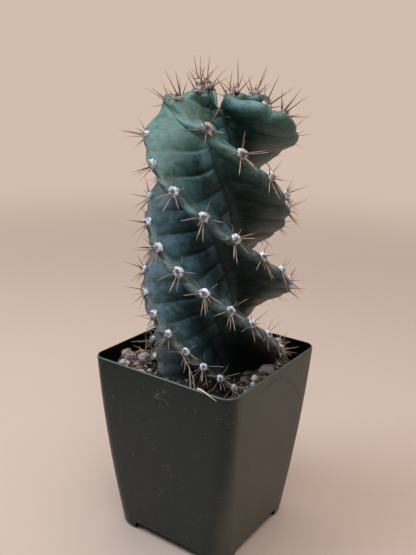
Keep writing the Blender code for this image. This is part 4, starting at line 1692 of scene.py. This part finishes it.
def twig(draw, spot):
    """Path and radius of a short twig that lies on the bed and keeps off the wall."""
    a = draw.uniform(0, math.tau)
    reach = Vector((math.cos(a), math.sin(a), draw.uniform(0.0, 0.7))) * draw.uniform(*TWIG_REACHES)
    for i in range(2):
        reach[i] = min(max(reach[i], -TWIG_LIMIT - spot[i]), TWIG_LIMIT - spot[i])
    start = Vector((*spot, mix_height(*spot) + TWIG_LIFT))
    return [start - reach * 0.3, start + reach * 0.3, start + reach], draw.uniform(*TWIG_RADII)


straw = Heap("tone")
draw = random.Random(SEED + 50)
for number in range(TWIGS):
    spot = free_spot(draw, MOUND_CENTRE, 0.008) if number % 2 else free_spot(draw)
    if spot:
        path, radius = twig(draw, spot)
        straw.put(*tube(path, [radius, radius, radius * 0.5], 5), tone=draw.uniform(0, 0.7))
print(len(straw.faces), "faces")

# %% Blades, rootlets and the sliver
STRAWS = (
    (0.00034, 0.50, ((0.0163, -0.0362, 0.0895), (0.0145, -0.0349, 0.0973), (0.0133, -0.0339, 0.1003),
                     (0.0084, -0.0342, 0.1068))),
    (0.00027, 0.40, ((0.0178, -0.0350, 0.0895), (0.0160, -0.0345, 0.0962), (0.0133, -0.0341, 0.1006))),
    (0.00022, 0.60, ((-0.0290, -0.0150, 0.088), (-0.0285, -0.0135, 0.093), (-0.0300, -0.0120, 0.0985))),
    (0.00022, 0.70, ((-0.0270, -0.0130, 0.088), (-0.0245, -0.0120, 0.093), (-0.0205, -0.0130, 0.0990))),
    (0.00020, 0.50, ((-0.0250, -0.0160, 0.088), (-0.0225, -0.0150, 0.092), (-0.0185, -0.0175, 0.0935))),
)
SLIVER = (
    (0.0216, -0.0385, 0.0940), (0.0250, -0.0400, 0.0948),
    (0.0290, -0.0412, 0.0944), (0.0338, -0.0416, 0.0931),
)
SLIVER_RADIUS = 0.00060

for radius, tone, spots in STRAWS:
    path = smooth_path([Vector(s) for s in spots])
    radii = [radius * (1 - 0.75 * (i / (len(path) - 1)) ** 2) for i in range(len(path))]
    straw.put(*tube(path, radii, 6), tone=tone)
path = smooth_path([Vector(s) for s in SLIVER])
radii = [SLIVER_RADIUS * (1.05 - i / len(path)) for i in range(len(path))]
straw.put(*tube(path, radii, 5), tone=1.0)
straw.piece("dry_straw", straw_material, slot="bark")

# %% [markdown]
# ## Floor
#
# The stage is a plain pale floor with no edge in sight. A backdrop sheet would need
# a bend of its own. Here the floor's alpha fades with distance instead, so that it
# melts into the warm room behind. It darkens towards the left and the camera, as it
# does in the photograph: a painted shadow, which the pot's left wall reflects.

# %% Floor finish and floor
FLOOR_REACH = 12
FADE_END = 1.1
FADE_START = 0.30
SHADOW_SIDE = (-0.56, -0.83)


def floor_finish():
    f = Finish("pale floor")
    cloud = f.noise(0.25, 2.0)
    x, y = f.axis("X"), f.axis("Y")
    reach = (x * x + y * y) ** 0.5
    tone = f.mix(cloud, (0.405, 0.302, 0.248), (0.435, 0.330, 0.274))
    # painted shadow on the floor towards the left and the camera
    near = (x * SHADOW_SIDE[0] + y * SHADOW_SIDE[1]).between(0.09, 0.40)
    shaded = f.mix(near, tone, (0.11, 0.094, 0.084))
    alpha = reach.between(FADE_END, FADE_START)
    return f.surface(base_color=shaded, roughness=0.9 + cloud * 0.02, alpha=alpha)


def make_floor():
    corners = [(-1, -1), (1, -1), (1, 1), (-1, 1)]
    mesh = bpy.data.meshes.new("floor")
    mesh.from_pydata([(x * FLOOR_REACH, y * FLOOR_REACH, 0) for x, y in corners], [], [(0, 1, 2, 3)])
    mesh.materials.append(floor_finish())
    floor = bpy.data.objects.new("floor", mesh)
    bpy.context.scene.collection.objects.link(floor)


make_floor()
print("the floor fades out at", FADE_END, "m")

# %% [markdown]
# ## Light
#
# A cool window from the upper left shapes the ribs and leaves their undersides dark.
# A weak fill near the camera and a broad light from above keep the shade readable.
# The room itself glows warmly, brightest behind the plant and to its right, and
# that is what the pot's right-hand wall reflects. A picture of a room would do the
# same, but one colour, two strengths and a direction are enough.

# %% Lamps
LAMPS = (
    ("window", (-0.54, 0.08, 0.80), 0.45, 7, (0.72, 0.87, 1.0)),
    ("fill", (0.08, 0.55, 0.75), 0.4, 2.6, (0.86, 0.94, 1.0)),
    ("sky", (0.1, 0.0, 1.1), 1.0, 11, (0.94, 0.97, 1.0)),
)
LIT_SPOT = Vector((0, 0, 0.12))


def area_light(name, place, size, watts, tint):
    """A square lamp that shines on the plant, from a place given as the camera sees it."""
    data = bpy.data.lights.new(name, "AREA")
    data.shape = "SQUARE"
    data.size = size
    data.energy = watts
    data.color = tint
    light = bpy.data.objects.new(name, data)
    light.location = from_camera(*place)
    light.rotation_euler = (LIT_SPOT - light.location).to_track_quat("-Z", "Y").to_euler()
    bpy.context.scene.collection.objects.link(light)


for lamp in LAMPS:
    area_light(*lamp)
print("lamps:", [lamp.name for lamp in bpy.data.lights])

# %% Room
BRIGHT_SIDE = math.radians(22)
ROOM_COLOUR = (0.83, 0.65, 0.545, 1.0)
DIM, BRIGHT = 0.22, 0.78


def studio_world():
    """Bright and warm behind the plant and to its right, dim on the camera's side of the room."""
    f = Graph("studio", bpy.data.worlds.new("studio"))
    turn = CAMERA_AZIMUTH - BRIGHT_SIDE
    away = Vector((-math.sin(turn), math.cos(turn), 0))
    sight = f.add("ShaderNodeTexCoord", output="Generated")
    share = f.add("ShaderNodeVectorMath", {"operation": "DOT_PRODUCT"}, {0: sight, 1: away}, "Value")
    glow = share.between(-0.40, 0.75, DIM, BRIGHT)
    return f.show(f.add("ShaderNodeBackground", sockets={"Color": ROOM_COLOUR, "Strength": glow}), "World")


bpy.context.scene.world = studio_world()
bpy.context.scene.view_settings.view_transform = "Standard"
print("the room's strength goes from", DIM, "to", BRIGHT)

# %% [markdown]
# ## Past the part
#
# The looks may stand a little proud of the part, and here it is the tips of the long
# crown spines that do.
